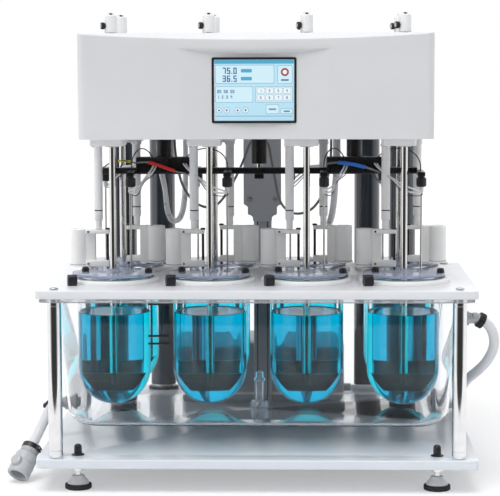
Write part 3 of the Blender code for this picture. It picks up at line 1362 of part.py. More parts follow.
def build_head_back(finish):
    """Rear cover of the head with cooling slots."""
    half = HEAD_WIDTH / 2
    front = HEAD_SPLIT
    back = HEAD_BACK
    height = HEAD_TOP - HEAD_BOTTOM
    outer = upright_box("head_rear_cover", (HEAD_WIDTH, 2 * (back - front), height),
                        (0.0, front, HEAD_BOTTOM + height / 2), REAR_EDGE, 2, finish["housing"])
    inner = upright_box("inner", (HEAD_WIDTH - 2 * HEAD_SHELL, 2 * (back - front - HEAD_SHELL), height),
                        (0.0, front, HEAD_BOTTOM + height / 2 - HEAD_SHELL), REAR_EDGE - HEAD_SHELL, 2)
    halfspace = box("halfspace", (HEAD_WIDTH + 2 * CUT_OVERRUN, 2 * (back - front), height + 2 * CUT_OVERRUN),
                    (0.0, front - (back - front), HEAD_BOTTOM + height / 2))
    slots = []
    for side in (-1, 1):
        for i in range(REAR_SLOT_COUNT):
            x = side * half / 2 + (i - (REAR_SLOT_COUNT - 1) / 2) * REAR_SLOT_PITCH
            slots.append(box("slot", (REAR_SLOT_WIDTH, 4 * HEAD_SHELL, REAR_SLOT_LENGTH),
                             (x, back, HEAD_BOTTOM + height / 2)))
    finished(cut(outer, inner, halfspace, *slots))


def tray_outline():
    """Edge of the head's floor, a clearance inside the covers all round."""
    inset = HEAD_SHELL + 2 * GAP
    front = []
    for x, setback in head_sections():
        across = x * (HEAD_WIDTH / 2 - inset) / (HEAD_WIDTH / 2)
        deepest = max(scoop_share(across), scoop_share(x))
        front.append((across, FRONT + setback + inset + SCOOP_DEPTH * deepest + GAP))
    half = HEAD_WIDTH / 2 - inset
    back = HEAD_BACK - inset
    radius = REAR_EDGE - HEAD_SHELL
    corners = arc(half - radius, back - radius, radius, 0.0, math.pi / 2, 3)
    corners += arc(-half + radius, back - radius, radius, math.pi / 2, math.pi, 3)
    return front + corners


def build_head_frame(finish):
    """Floor of the head with everything fixed to it.

    Above it are bearing housings and the motor's legs. Below it are the column sleeves, the carriage,
    the manifold guides, and at each station a block with its probe tube.
    """
    loops = [tray_outline()]
    for place in STATION_PLACES:
        loops.append(circle(place.translation.x, place.translation.y, FLOOR_HOLE_RADIUS, SIDES_THIN))
    for i in range(GUIDE_COUNT):
        loops.append(circle((i - (GUIDE_COUNT - 1) / 2) * GUIDE_PITCH, BAR_Y,
                            (GUIDE_ROD_RADIUS + GUIDE_RADIUS) / 2, SIDES_THIN))
    floor = flat_plate("head_frame", loops, HEAD_BOTTOM, TRAY_TOP, finish["grey"])
    extras = []
    bore = (HUB_RADIUS + GAP) / math.cos(math.pi / SIDES_SMALL)
    for place in STATION_PLACES:
        x, y, _ = place.translation
        bearing = turned("bearing", [
            (bore, TRAY_TOP + BEARING_HEIGHT), (BEARING_RADIUS, TRAY_TOP + BEARING_HEIGHT),
            (BEARING_RADIUS, HEAD_BOTTOM + 2 * GAP), (bore, HEAD_BOTTOM + 2 * GAP)],
            SIDES_SMALL, closed=True)
        bearing.location = (x, y, 0.0)
        extras.append(bearing)
    reach = MOTOR_PLATE_SIDE / 2 - MOTOR_LEG_INSET
    for x in (-reach, reach):
        for y in (-reach, reach):
            extras.append(cylinder("leg", MOTOR_LEG_RADIUS, TRAY_TOP - GAP,
                                   PULLEY_TOP + MOTOR_PLATE_RISE - 3 * GAP, x, BACK_ROW_Y + y, SIDES_THIN))
    extras.extend(station_blocks())
    extras.append(sleeve_pieces())
    extras.extend(carriage_piece())
    extras.extend(guide_sockets())
    smooth(finished(welded(floor, *extras)))


def build_screen(finish):
    """Bezel and touch screen in the head's window."""
    front = FRONT + SCOOP_DEPTH - SCREEN_PROUD
    z = HEAD_TOP - SCREEN_MIDDLE_BELOW_HEAD_TOP
    back = front + SCREEN_FRAME_DEPTH
    frame = box("screen_bezel", (SCREEN_WIDTH, SCREEN_FRAME_DEPTH, SCREEN_HEIGHT),
                (SCREEN_X, (front + back) / 2, z), SCREEN_BORDER / 4, 1, finish["black"])
    clear_width = SCREEN_WIDTH - 2 * SCREEN_BORDER
    clear_height = SCREEN_HEIGHT - 2 * SCREEN_BORDER
    opening = box("opening", (clear_width, 2 * SCREEN_FRAME_DEPTH, clear_height),
                  (SCREEN_X, (front + back) / 2, z))
    finished(cut(frame, opening))
    glass_front = front + SCREEN_GLASS_SINK
    box("touch_screen", (clear_width - 2 * GAP, SCREEN_GLASS_THICKNESS, clear_height - 2 * GAP),
        (SCREEN_X, glass_front + SCREEN_GLASS_THICKNESS / 2, z), 0.0, 1, finish["screen"])


def blade_outline():
    """Paddle blade: straight top and bottom edges, and sides that curve in towards the bottom."""
    top = BLADE_TOP_WIDTH / 2
    low = BLADE_LOW_WIDTH / 2
    start = VESSEL_FLOOR + BLADE_ABOVE_VESSEL_FLOOR
    sagitta_rise = BLADE_HEIGHT / ARC_STEPS
    side = []
    for i in range(ARC_STEPS + 1):
        z = i * sagitta_rise
        drop = BLADE_HEIGHT - z
        x = top - (top - low) * (BLADE_SIDE_RADIUS - math.sqrt(BLADE_SIDE_RADIUS ** 2 - drop ** 2)) \
            / (BLADE_SIDE_RADIUS - math.sqrt(BLADE_SIDE_RADIUS ** 2 - BLADE_HEIGHT ** 2))
        side.append((x, start + z))
    return side + [(-x, z) for x, z in reversed(side)]


def build_spindles(finish):
    """Eight paddles on their shafts and the eight hollow spindles that hold them."""
    blade_low = VESSEL_FLOOR + BLADE_ABOVE_VESSEL_FLOOR
    shaft = cylinder("paddle", SHAFT_RADIUS, blade_low - GAP, CHUCK_TOP + SHAFT_ABOVE_CHUCK,
                     sides=SIDES_THIN, finish=finish["chrome"])
    blade = flat_plate("blade", [blade_outline()], -BLADE_THICKNESS / 2, BLADE_THICKNESS / 2)
    blade.rotation_euler = (math.pi / 2, 0.0, 0.0)
    first_paddle = smooth(finished(joined(shaft, blade)))

    bore = SHAFT_RADIUS + 2 * GAP
    low = HEAD_BOTTOM + 3 * GAP
    body = turned("spindle", [
        (bore, CHUCK_TOP), (CHUCK_RADIUS, CHUCK_TOP), (CHUCK_RADIUS, CHUCK_BOTTOM),
        (HUB_RADIUS, CHUCK_BOTTOM), (HUB_RADIUS, PULLEY_TOP), (PULLEY_RADIUS, PULLEY_TOP),
        (PULLEY_RADIUS, PULLEY_BOTTOM + PULLEY_FLANGE_THICKNESS),
        (PULLEY_RADIUS + PULLEY_FLANGE, PULLEY_BOTTOM + PULLEY_FLANGE_THICKNESS),
        (PULLEY_RADIUS + PULLEY_FLANGE, PULLEY_BOTTOM), (HUB_RADIUS, PULLEY_BOTTOM),
        (HUB_RADIUS, low), (bore, low)], SIDES_SMALL, finish["nylon"], closed=True)
    screw = cylinder("thumbscrew", THUMBSCREW_RADIUS, CHUCK_RADIUS - CUT_OVERRUN,
                     CHUCK_RADIUS + THUMBSCREW_LENGTH, sides=SIDES_THIN)
    reach = screw.location.z
    screw.matrix_basis = (Matrix.Translation((0.0, 0.0, CHUCK_BOTTOM + THUMBSCREW_RISE))
                          @ Matrix.Rotation(THUMBSCREW_TURN, 4, "Z")
                          @ Matrix.Rotation(math.pi / 2, 4, "Y") @ Matrix.Translation((0.0, 0.0, reach)))
    first_spindle = smooth(finished(joined(body, screw)))
    for number, row, place in STATIONS:
        upright = Matrix.Translation(place.translation)
        link(f"paddle_{number}", first_paddle.data).matrix_basis = upright
        link(f"spindle_{number}", first_spindle.data).matrix_basis = upright
    bpy.data.objects.remove(first_paddle, do_unlink=True)
    bpy.data.objects.remove(first_spindle, do_unlink=True)


def build_drive(finish):
    """Timing belt round all the pulleys and the motor on its plate."""
    half = STATION_PITCH * (COLUMN_COUNT - 1) / 2
    inner = (PULLEY_RADIUS + GAP) / math.cos(math.pi / (4 * BELT_CORNER_STEPS))
    outer = inner + BELT_THICKNESS
    loops = [rounded_rectangle(-half - r, half + r, FRONT_ROW_Y - r, BACK_ROW_Y + r, r, BELT_CORNER_STEPS)
             for r in (outer, inner)]
    flat_plate("drive_belt", loops, BELT_BOTTOM, BELT_BOTTOM + BELT_WIDTH, finish["rubber"])

    plate_low = PULLEY_TOP + MOTOR_PLATE_RISE
    plate_top = plate_low + MOTOR_PLATE_THICKNESS
    motor = box("drive_motor", (MOTOR_SIDE, MOTOR_SIDE, MOTOR_HEIGHT + GAP),
                (0.0, BACK_ROW_Y, plate_top + (MOTOR_HEIGHT - GAP) / 2), MOTOR_EDGE, 1, finish["motor"])
    plate = box("plate", (MOTOR_PLATE_SIDE, MOTOR_PLATE_SIDE, MOTOR_PLATE_THICKNESS),
                (0.0, BACK_ROW_Y, (plate_low + plate_top) / 2))
    pulley = turned("pulley", [
        (0.0, plate_low + GAP), (MOTOR_SHAFT_RADIUS, plate_low + GAP), (MOTOR_SHAFT_RADIUS, PULLEY_TOP),
        (PULLEY_RADIUS, PULLEY_TOP), (PULLEY_RADIUS, PULLEY_BOTTOM), (0.0, PULLEY_BOTTOM)], SIDES_MEDIUM)
    pulley.location = (0.0, BACK_ROW_Y, 0.0)
    finished(joined(motor, plate, pulley))


def station_blocks():
    """The block under the head at each shaft, bored for it, and the probe tube that hangs from it."""
    top = HEAD_BOTTOM + GAP
    bottom = HEAD_BOTTOM - BLOCK_THICKNESS
    outline = [(-BLOCK_LEFT, -BLOCK_FRONT), (BLOCK_RIGHT, -BLOCK_FRONT), (BLOCK_RIGHT, BLOCK_BACK),
               (-BLOCK_LEFT, BLOCK_BACK)]
    hole = circle(0.0, 0.0, BLOCK_SHAFT_HOLE_RADIUS, SIDES_SMALL)
    block = flat_plate("block", [outline, hole], bottom, top)
    seam = HEAD_BOTTOM - TUBE_SEAM_BELOW_HEAD
    pipe = turned("pipe", [
        (0.0, bottom + GAP), (TUBE_RADIUS, bottom + GAP), (TUBE_RADIUS, seam - TUBE_SHOULDER_BELOW_SEAM),
        (TUBE_NECK_RADIUS, seam - TUBE_NECK_BELOW_SEAM), (TUBE_NECK_RADIUS, hub_top()), (0.0, hub_top())],
        SIDES_SMALL)
    pipe.location = (TUBE_X, TUBE_Y, 0.0)
    return group("blocks", block, STATION_PLACES, None), group("pipes", pipe, STATION_PLACES, None)


def hub_top():
    """Level at which a probe tube ends on its dispenser's arm."""
    return LID_TOP + DISPENSER_STANDOFF + DISPENSER_FLANGE_THICKNESS + DISPENSER_HEIGHT + GAP


def build_manifold(finish):
    """Sampling manifold: bar with its rods, trunking, arms, knobs and cannulas."""
    bar = box("sampling_manifold", (BAR_LENGTH, BAR_DEPTH, BAR_THICKNESS),
              (0.0, BAR_Y, (BAR_BOTTOM + BAR_TOP) / 2), 0.0, 1, finish["black"])
    pieces = []
    trunk_top = BAR_BOTTOM + TRUNK_HEIGHT
    for side in (-1, 1):
        pieces.append(box("trunk", (TRUNK_LENGTH, BAR_DEPTH + TRUNK_FRONT, TRUNK_HEIGHT),
                          (side * GUIDE_PITCH, BAR_Y - TRUNK_FRONT / 2 + GAP, BAR_BOTTOM
                           + TRUNK_HEIGHT / 2 - GAP)))
    pieces.append(box("nub", (NUB_WIDTH, BAR_DEPTH / 2, NUB_HEIGHT),
                      (0.0, BAR_Y, BAR_BOTTOM - NUB_HEIGHT / 2 + GAP)))
    rod_top = BAR_TOP + GUIDE_ROD_REACH
    for i in range(GUIDE_COUNT):
        pieces.append(cylinder("rod", GUIDE_ROD_RADIUS, BAR_TOP - GAP, rod_top,
                               (i - (GUIDE_COUNT - 1) / 2) * GUIDE_PITCH, BAR_Y, SIDES_SMALL))
    arm_top = BAR_TOP - GAP
    arm_low = BAR_BOTTOM + GAP
    knob_top = arm_low + GAP
    knob_low = BAR_BOTTOM - KNOB_HEIGHT
    for number, row, place in STATIONS:
        tip = place @ Vector((SAMPLE_X, SAMPLE_Y, 0.0))
        out = math.copysign(1.0, tip.y - BAR_Y)
        start = BAR_Y + out * BAR_DEPTH / 4
        end = tip.y + out * ARM_OVERHANG
        pieces.append(box("arm", (ARM_WIDTH, abs(end - start), arm_top - arm_low),
                          (tip.x, (start + end) / 2, (arm_top + arm_low) / 2)))
        pieces.append(cylinder("knob", KNOB_RADIUS, knob_low, knob_top, tip.x, tip.y, KNOB_LOBES))
        pieces.append(cylinder("cannula", CANNULA_RADIUS, LID_TOP - CANNULA_TIP_BELOW_LID, knob_low + GAP,
                               tip.x, tip.y, SIDES_THIN))
    smooth(finished(joined(bar, *pieces)))



def guide_sockets():
    """The three sockets under the head in which the manifold's rods slide."""
    guides = []
    trunk_top = BAR_BOTTOM + TRUNK_HEIGHT
    for i in range(GUIDE_COUNT):
        offset = i - (GUIDE_COUNT - 1) / 2
        under = BAR_TOP if offset == 0.0 else trunk_top
        low = max(under + GUIDE_SIDE_CLEARANCE, HEAD_BOTTOM - GUIDE_MIDDLE_LENGTH)
        guide = turned("guide", [
            (GUIDE_ROD_RADIUS + GAP, TRAY_TOP - 2 * GAP), (GUIDE_RADIUS, TRAY_TOP - 2 * GAP),
            (GUIDE_RADIUS, low), (GUIDE_ROD_RADIUS + GAP, low)], SIDES_SMALL, closed=True)
        guide.location = (offset * GUIDE_PITCH, BAR_Y, 0.0)
        guides.append(guide)
    return guides


def build_cables(finish):
    """Sampling tube bundles and the signal cable that hang in loops under the head."""
    step = HOSE_STEP / 2
    bundle_step = 3 * step / 2
    tube("sample_bundle_left", smooth_route(hung(LEFT_BUNDLE_ROUTE), bundle_step), BUNDLE_RADIUS,
         finish["hose"])
    tube("sample_bundle_right", smooth_route(hung(RIGHT_BUNDLE_ROUTE), bundle_step), BUNDLE_RADIUS,
         finish["hose"])
    tube("signal_cable", smooth_route(hung(CABLE_ROUTE), 4 * step / 3), CABLE_RADIUS, finish["cable"], 2)


def main():
    """Build the whole instrument."""
    clear_scene()
    finish = make_finishes()
    build_base(finish)
    build_vessel_plate(finish)
    build_vessels(finish)
    build_lids(finish)
    build_tank(finish)
    build_hoses(finish)
    build_case(finish)
    build_head_cover(finish)
    build_head_back(finish)
    build_head_frame(finish)
    build_screen(finish)
    build_spindles(finish)
    build_drive(finish)
    build_manifold(finish)
    build_cables(finish)


main()
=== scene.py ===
"""Dressed model of an eight-vessel bench dissolution tester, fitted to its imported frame.

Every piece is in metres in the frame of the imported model: +X to the right, +Y to the back, +Z up.
"""
from __future__ import annotations

import json
import logging
import math
from dataclasses import dataclass
from enum import Enum
from typing import Sequence

import bmesh
import bpy
from mathutils import Matrix, Vector

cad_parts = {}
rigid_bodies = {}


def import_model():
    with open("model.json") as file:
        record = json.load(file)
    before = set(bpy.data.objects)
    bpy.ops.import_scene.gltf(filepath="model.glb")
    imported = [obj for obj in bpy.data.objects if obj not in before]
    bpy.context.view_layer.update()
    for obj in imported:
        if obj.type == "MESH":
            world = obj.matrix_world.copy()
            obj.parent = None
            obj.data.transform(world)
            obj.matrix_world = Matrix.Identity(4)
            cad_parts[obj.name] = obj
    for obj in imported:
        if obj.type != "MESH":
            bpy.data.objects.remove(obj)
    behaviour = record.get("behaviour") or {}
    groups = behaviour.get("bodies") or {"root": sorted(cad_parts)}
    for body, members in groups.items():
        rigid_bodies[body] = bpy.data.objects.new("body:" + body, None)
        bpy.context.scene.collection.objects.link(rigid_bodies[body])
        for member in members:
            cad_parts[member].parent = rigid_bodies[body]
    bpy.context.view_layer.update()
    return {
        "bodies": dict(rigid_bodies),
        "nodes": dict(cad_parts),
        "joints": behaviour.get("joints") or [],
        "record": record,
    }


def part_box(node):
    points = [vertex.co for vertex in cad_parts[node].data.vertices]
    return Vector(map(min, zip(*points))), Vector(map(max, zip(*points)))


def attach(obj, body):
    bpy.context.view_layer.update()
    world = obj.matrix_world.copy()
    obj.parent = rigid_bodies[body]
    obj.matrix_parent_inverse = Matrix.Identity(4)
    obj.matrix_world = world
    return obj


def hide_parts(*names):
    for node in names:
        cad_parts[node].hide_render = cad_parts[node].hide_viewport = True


LOG = logging.getLogger("dissolution_tester")

Colour = tuple[float, float, float]
Point = tuple[float, float, float]
Profile = list[tuple[float, float]]
Outline = Sequence[tuple[float, float]]
Shape = bmesh.types.BMesh
Socket = bpy.types.NodeSocket
Object = bpy.types.Object

ROUND = 48
SMOOTH = 72
FINE = 24
SHARP_ANGLE = math.radians(32.0)


class Body(str, Enum):
    """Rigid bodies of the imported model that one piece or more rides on."""

    STAND = "stand"
    HEAD = "drive_head"
    MANIFOLD = "manifold"
    LATCH = "latch"


class Slot(str, Enum):
    """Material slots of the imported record."""

    WHITE = "white_coated"
    HEAD = "head_paint"
    STEEL = "polished_steel"
    SLATE = "slate_paint"
    GREY = "grey_paint"
    BLACK = "black_plastic"
    RUBBER = "black_rubber"
    GLASS = "vessel_glass"
    CLEAR = "clear_plastic"
    LID = "lid_plastic"
    NYLON = "white_plastic"
    COUPLING = "grey_plastic"
    SCREEN = "screen_glass"
    HOSE = "hose_vinyl"
    CABLE = "cable_grey"


class Axis(Enum):
    """Axis along which a metal was brushed or drawn."""

    X = (1.0, 60.0, 60.0)
    Y = (60.0, 1.0, 60.0)
    Z = (60.0, 60.0, 1.0)


# ---------------------------------------------------------------- finishes


class ShaderBoard:
    """Lays the nodes of one material round its Principled shader."""

    def __init__(self, name: str) -> None:
        """Make the material.

        Args:
            name: name of the material.
        """
        self.material = bpy.data.materials.new(name)
        self.material.use_nodes = True
        self.nodes = self.material.node_tree.nodes
        self.links = self.material.node_tree.links
        self.shader = self.nodes["Principled BSDF"]
        self.output = self.nodes["Material Output"]

    def set(self, **values: object) -> None:
        """Set the shader's own sockets, written with underscores for spaces."""
        for key, value in values.items():
            socket = self.shader.inputs[key.replace("_", " ")]
            socket.default_value = (*value, 1.0) if isinstance(value, tuple) else value

    def noise(self, scale: float, detail: float = 3.0, stretch: Point = (1.0, 1.0, 1.0)) -> Socket:
        """Noise on Object coordinates.

        Args:
            scale: waves per metre before the stretch.
            detail: octaves of the noise.
            stretch: factor on the coordinates along each axis.

        Returns:
            The socket with the noise, from 0 to 1.
        """
        coords = self.nodes.new("ShaderNodeTexCoord")
        mapping = self.nodes.new("ShaderNodeMapping")
        mapping.inputs["Scale"].default_value = stretch
        node = self.nodes.new("ShaderNodeTexNoise")
        node.inputs["Scale"].default_value = scale
        node.inputs["Detail"].default_value = detail
        self.links.new(coords.outputs["Object"], mapping.inputs["Vector"])
        self.links.new(mapping.outputs["Vector"], node.inputs["Vector"])
        return node.outputs["Fac"]

    def spread(self, fac: Socket, low: float, high: float) -> Socket:
        """Map the useful middle of a noise to a range.

        Args:
            fac: socket with the noise.
            low: value where the noise is low.
            high: value where it is high.

        Returns:
            The socket with the mapped value.
        """
        node = self.nodes.new("ShaderNodeMapRange")
        node.inputs["From Min"].default_value = 0.3
        node.inputs["From Max"].default_value = 0.7
        node.inputs["To Min"].default_value = low
        node.inputs["To Max"].default_value = high
        self.links.new(fac, node.inputs["Value"])
        return node.outputs["Result"]

    def blotch(self, colour: Colour, share: float, fac: Socket) -> None:
        """Vary the base colour a little from place to place.

        Args:
            colour: the colour in the middle.
            share: share by which it darkens and lightens.
            fac: noise that says where.
        """
        mix = self.nodes.new("ShaderNodeMix")
        mix.data_type = "RGBA"
        mix.inputs["A"].default_value = (*[c * (1.0 - share) for c in colour], 1.0)
        mix.inputs["B"].default_value = (*[min(1.0, c * (1.0 + share)) for c in colour], 1.0)
        self.links.new(self.spread(fac, 0.0, 1.0), mix.inputs["Factor"])
        self.links.new(mix.outputs["Result"], self.shader.inputs["Base Color"])

    def bump(self, height: Socket, strength: float, distance: float) -> None:
        """Raise the surface by a height field.

        Args:
            height: socket with the height.
            strength: strength of the bump.
            distance: real height of one unit, in metres.
        """
        node = self.nodes.new("ShaderNodeBump")
        node.inputs["Strength"].default_value = strength
        node.inputs["Distance"].default_value = distance
        self.links.new(height, node.inputs["Height"])
        self.links.new(node.outputs["Normal"], self.shader.inputs["Normal"])

    def feed(self, source: Socket, name: str) -> None:
        """Link a socket to one of the shader's inputs."""
        self.links.new(source, self.shader.inputs[name])

    def let_lamps_through(self, tint: Colour, share: float) -> None:
        """Let shadow rays pass, tinted, as clear solids let light on to what is behind them.

        Args:
            tint: colour that each surface leaves in the light.
            share: share of the light that passes.
        """
        rays = self.nodes.new("ShaderNodeLightPath")
        part = self.nodes.new("ShaderNodeMath")
        part.operation = "MULTIPLY"
        part.inputs[1].default_value = share
        open_way = self.nodes.new("ShaderNodeBsdfTransparent")
        open_way.inputs["Color"].default_value = (*tint, 1.0)
        mix = self.nodes.new("ShaderNodeMixShader")
        self.links.new(rays.outputs["Is Shadow Ray"], part.inputs[0])
        self.links.new(part.outputs[0], mix.inputs[0])
        self.links.new(self.shader.outputs[0], mix.inputs[1])
        self.links.new(open_way.outputs[0], mix.inputs[2])
        self.links.new(mix.outputs[0], self.output.inputs["Surface"])


_MADE: dict["Finish", bpy.types.Material] = {}


@dataclass(frozen=True)
class Finish:
    """A surface finish that makes its material once."""

    name: str
    colour: Colour
    roughness: float

    def material(self) -> bpy.types.Material:
        """The material of this finish."""
        if self not in _MADE:
            board = ShaderBoard(self.name)
            board.material.diffuse_color = (*self.colour, 1.0)
            self.dress(board)
            _MADE[self] = board.material
        return _MADE[self]

    def dress(self, board: ShaderBoard) -> None:
        """Lay the nodes of this finish."""
        raise NotImplementedError


@dataclass(frozen=True)
class Coating(Finish):
    """Powder coat on metal: fine orange peel, faint blotches and rubbed gloss."""

    peel: float = 0.1
    grain: float = 620.0
    coat: float = 0.0

    def dress(self, board: ShaderBoard) -> None:
        """Lay the nodes of the coat."""
        board.set(Metallic=0.0, IOR=1.46, Coat_Weight=self.coat, Coat_Roughness=0.12)
        broad = board.noise(7.0, 4.0)
        board.blotch(self.colour, 0.025, broad)
        board.feed(board.spread(board.noise(38.0, 4.0), self.roughness * 0.86, self.roughness * 1.16),
                   "Roughness")
        board.bump(board.noise(self.grain, 2.0), self.peel, 0.0004)


@dataclass(frozen=True)
class Steel(Finish):
    """Polished or brushed metal with fine drawn lines."""

    axis: Axis = Axis.Z
    lines: float = 0.05

    def dress(self, board: ShaderBoard) -> None:
        """Lay the nodes of the metal."""
        board.set(Metallic=1.0, IOR=2.5)
        drawn = board.noise(28.0, 5.0, self.axis.value)
        board.blotch(self.colour, 0.05, board.noise(60.0, 3.0))
        board.feed(board.spread(drawn, self.roughness * 0.7, self.roughness * 1.5), "Roughness")
        board.bump(drawn, self.lines, 0.0003)


@dataclass(frozen=True)
class Moulding(Finish):
    """Moulded plastic with a fine spark-eroded texture."""

    texture: float = 0.12
    grain: float = 1500.0
    blotches: float = 0.03

    def dress(self, board: ShaderBoard) -> None:
        """Lay the nodes of the plastic."""
        board.set(Metallic=0.0, IOR=1.5)
        board.blotch(self.colour, self.blotches, board.noise(22.0, 4.0))
        board.feed(board.spread(board.noise(120.0, 3.0), self.roughness * 0.85, self.roughness * 1.15),
                   "Roughness")
        board.bump(board.noise(self.grain, 2.0), self.texture, 0.0003)


@dataclass(frozen=True)
class Clear(Finish):
    """Clear or tinted solid that light passes through: glass, liquid or clear plastic."""

    ior: float = 1.45
    through: float = 1.0
    waviness: float = 0.02
    haze: float = 0.0
    shade: float = 0.85

    def dress(self, board: ShaderBoard) -> None:
        """Lay the nodes of the clear solid; lamps shine through it, tinted."""
        board.set(Base_Color=self.colour, IOR=self.ior, Transmission_Weight=self.through)
        board.feed(board.spread(board.noise(55.0, 4.0), self.roughness, self.roughness + self.haze),
                   "Roughness")
        board.bump(board.noise(16.0, 2.0), self.waviness, 0.002)
        board.let_lamps_through(tuple(self.shade * c for c in self.colour), self.through)


@dataclass(frozen=True)
class Glow(Finish):
    """Lit surface of the display, under its own fine pixel grain."""

    strength: float = 0.55

    def dress(self, board: ShaderBoard) -> None:
        """Lay the nodes of the lit surface."""
        board.set(IOR=1.45, Emission_Strength=self.strength, Roughness=self.roughness)
        board.shader.inputs["Emission Color"].default_value = (*self.colour, 1.0)
        board.blotch(tuple(c * 0.5 for c in self.colour), 0.02, board.noise(900.0, 1.0))


class Rack:
    """All the finishes of the instrument."""

    plate_white = Coating("plate_white", (0.74, 0.755, 0.785), 0.34, peel=0.06)
    # Base plate finish: the vessel plate's white coating, painted darker as shade and bluer as a reflection of the
    # blue medium.
    base_white_painted_shade = Coating("base_white_painted_shade", (0.66, 0.705, 0.755), 0.34, peel=0.03, coat=0.15)
    head_white = Coating("head_white", (0.715, 0.722, 0.742), 0.4, peel=0.06)
    slate = Coating("slate_gloss", (0.02, 0.029, 0.043), 0.2, peel=0.02, coat=0.8)
    zinc = Coating("foot_zinc", (0.62, 0.63, 0.64), 0.3, peel=0.1)
    case_grey = Coating("case_grey", (0.42, 0.44, 0.47), 0.45, peel=0.18)
    carriage_grey = Coating("carriage_grey", (0.5, 0.515, 0.545), 0.42, peel=0.1)
    pulley_grey = Coating("pulley_grey", (0.3, 0.31, 0.33), 0.42, peel=0.1)
    chrome = Steel("chrome", (0.8, 0.8, 0.81), 0.07, lines=0.015)
    shaft_steel = Steel("shaft_steel", (0.74, 0.73, 0.71), 0.1, lines=0.02)
    blade_steel = Steel("blade_steel", (0.055, 0.055, 0.06), 0.34, axis=Axis.X)
    screw_steel = Steel("screw_steel", (0.55, 0.55, 0.56), 0.25, axis=Axis.X)
    nylon = Moulding("white_nylon", (0.84, 0.845, 0.85), 0.4, texture=0.05)
    nylon_warm = Moulding("dispenser_white", (0.88, 0.88, 0.87), 0.38, texture=0.05)
    black = Moulding("black_moulding", (0.012, 0.012, 0.015), 0.42, texture=0.14)
    satin_black = Moulding("satin_black", (0.006, 0.006, 0.007), 0.3, texture=0.05)
    rubber = Moulding("foot_rubber", (0.018, 0.018, 0.019), 0.78, texture=0.35, grain=700.0)
    seam = Moulding("seam_dark", (0.05, 0.05, 0.055), 0.6)
    coupling = Moulding("coupling_grey", (0.46, 0.48, 0.5), 0.42, texture=0.08)
    cable = Moulding("cable_jacket", (0.2, 0.2, 0.185), 0.45, texture=0.1)
    red = Moulding("red_sleeve", (0.62, 0.02, 0.02), 0.4)
    blue = Moulding("blue_sleeve", (0.02, 0.16, 0.62), 0.4)
    yellow = Moulding("yellow_sleeve", (0.75, 0.68, 0.05), 0.4)
    line_ink = Moulding("line_ink", (0.004, 0.004, 0.005), 0.5)
    glass = Clear("vessel_glass", (0.97, 0.985, 0.99), 0.0, ior=1.22, waviness=0.015)
    medium = Clear("blue_medium", (0.003, 0.67, 0.84), 0.0, ior=1.33, waviness=0.0, shade=1.0)
    tank = Clear("tank_acrylic", (0.965, 0.975, 0.985), 0.0, ior=1.25, waviness=0.02, shade=0.98)
    lid = Clear("lid_acrylic", (0.7, 0.76, 0.9), 0.1, ior=1.35, through=0.72, haze=0.12)
    tank_rim = Clear("tank_rim", (0.9, 0.91, 0.93), 0.08, ior=1.12, through=0.75, haze=0.02)
    knob_clear = Clear("knob_acrylic", (0.86, 0.89, 0.96), 0.06, ior=1.4, through=0.8, haze=0.1)
    vinyl = Clear("hose_vinyl", (0.86, 0.87, 0.9), 0.35, ior=1.3, through=0.28, waviness=0.0, haze=0.1)
    tubing = Clear("sample_tubing", (0.92, 0.93, 0.95), 0.25, ior=1.25, through=0.3, waviness=0.0, haze=0.1)
    display = Glow("display_blue", (0.5, 0.78, 0.93), 0.12)
    display_bar = Glow("display_bar", (0.1, 0.42, 0.62), 0.12)
    display_panel = Glow("display_panel", (0.66, 0.88, 0.97), 0.12)
    display_button = Glow("display_button", (0.85, 0.93, 0.97), 0.12)
    display_ink = Glow("display_ink", (0.03, 0.12, 0.42), 0.2, strength=0.4)
    display_line = Glow("display_line", (0.13, 0.3, 0.42), 0.2, strength=0.4)
    display_red = Glow("display_red", (0.5, 0.1, 0.1), 0.2, strength=0.4)


# ---------------------------------------------------------------- meshes


def eased(points: Outline, radius: float, steps: int = 3, closed: bool = False) -> Profile:
    """Round the corners of a flat line.

    Args:
        points: corners of the line.
        radius: distance from a corner at which its curve starts.
        steps: segments in each curve.
        closed: whether the line ends where it starts.

    Returns:
        The rounded line.
    """
    made: Profile = []
    count = len(points)
    for i, here in enumerate(points):
        if not closed and i in (0, count - 1):
            made.append((here[0], here[1]))
            continue
        corner = Vector(here)
        back = Vector(points[i - 1]) - corner
        ahead = Vector(points[(i + 1) % count]) - corner
        reach = min(radius, back.length * 0.48, ahead.length * 0.48)
        if reach < 1e-6 or abs(back.angle(ahead, math.pi) - math.pi) < math.radians(3.0):
            made.append((here[0], here[1]))
            continue
        start, end = corner + back.normalized() * reach, corner + ahead.normalized() * reach
        for k in range(steps + 1):
            t = k / steps
            spot = start * (1 - t) ** 2 + corner * 2 * t * (1 - t) + end * t ** 2
            made.append((spot.x, spot.y))
    return made


def circle(x: float, y: float, radius: float, sides: int = ROUND) -> Profile:
    """Points of a circle, anticlockwise."""
    return [(x + radius * math.cos(2 * math.pi * i / sides), y + radius * math.sin(2 * math.pi * i / sides))
            for i in range(sides)]


def rectangle(left: float, right: float, front: float, back: float, radius: float, steps: int = 6) -> Profile:
    """Points of a rectangle with round corners, anticlockwise."""
    made: Profile = []
    for x, y, start in ((right - radius, back - radius, 0.0), (left + radius, back - radius, 0.5),
                        (left + radius, front + radius, 1.0), (right - radius, front + radius, 1.5)):
        for k in range(steps + 1):
            a = math.pi * (start + 0.5 * k / steps)
            made.append((x + radius * math.cos(a), y + radius * math.sin(a)))
    return made


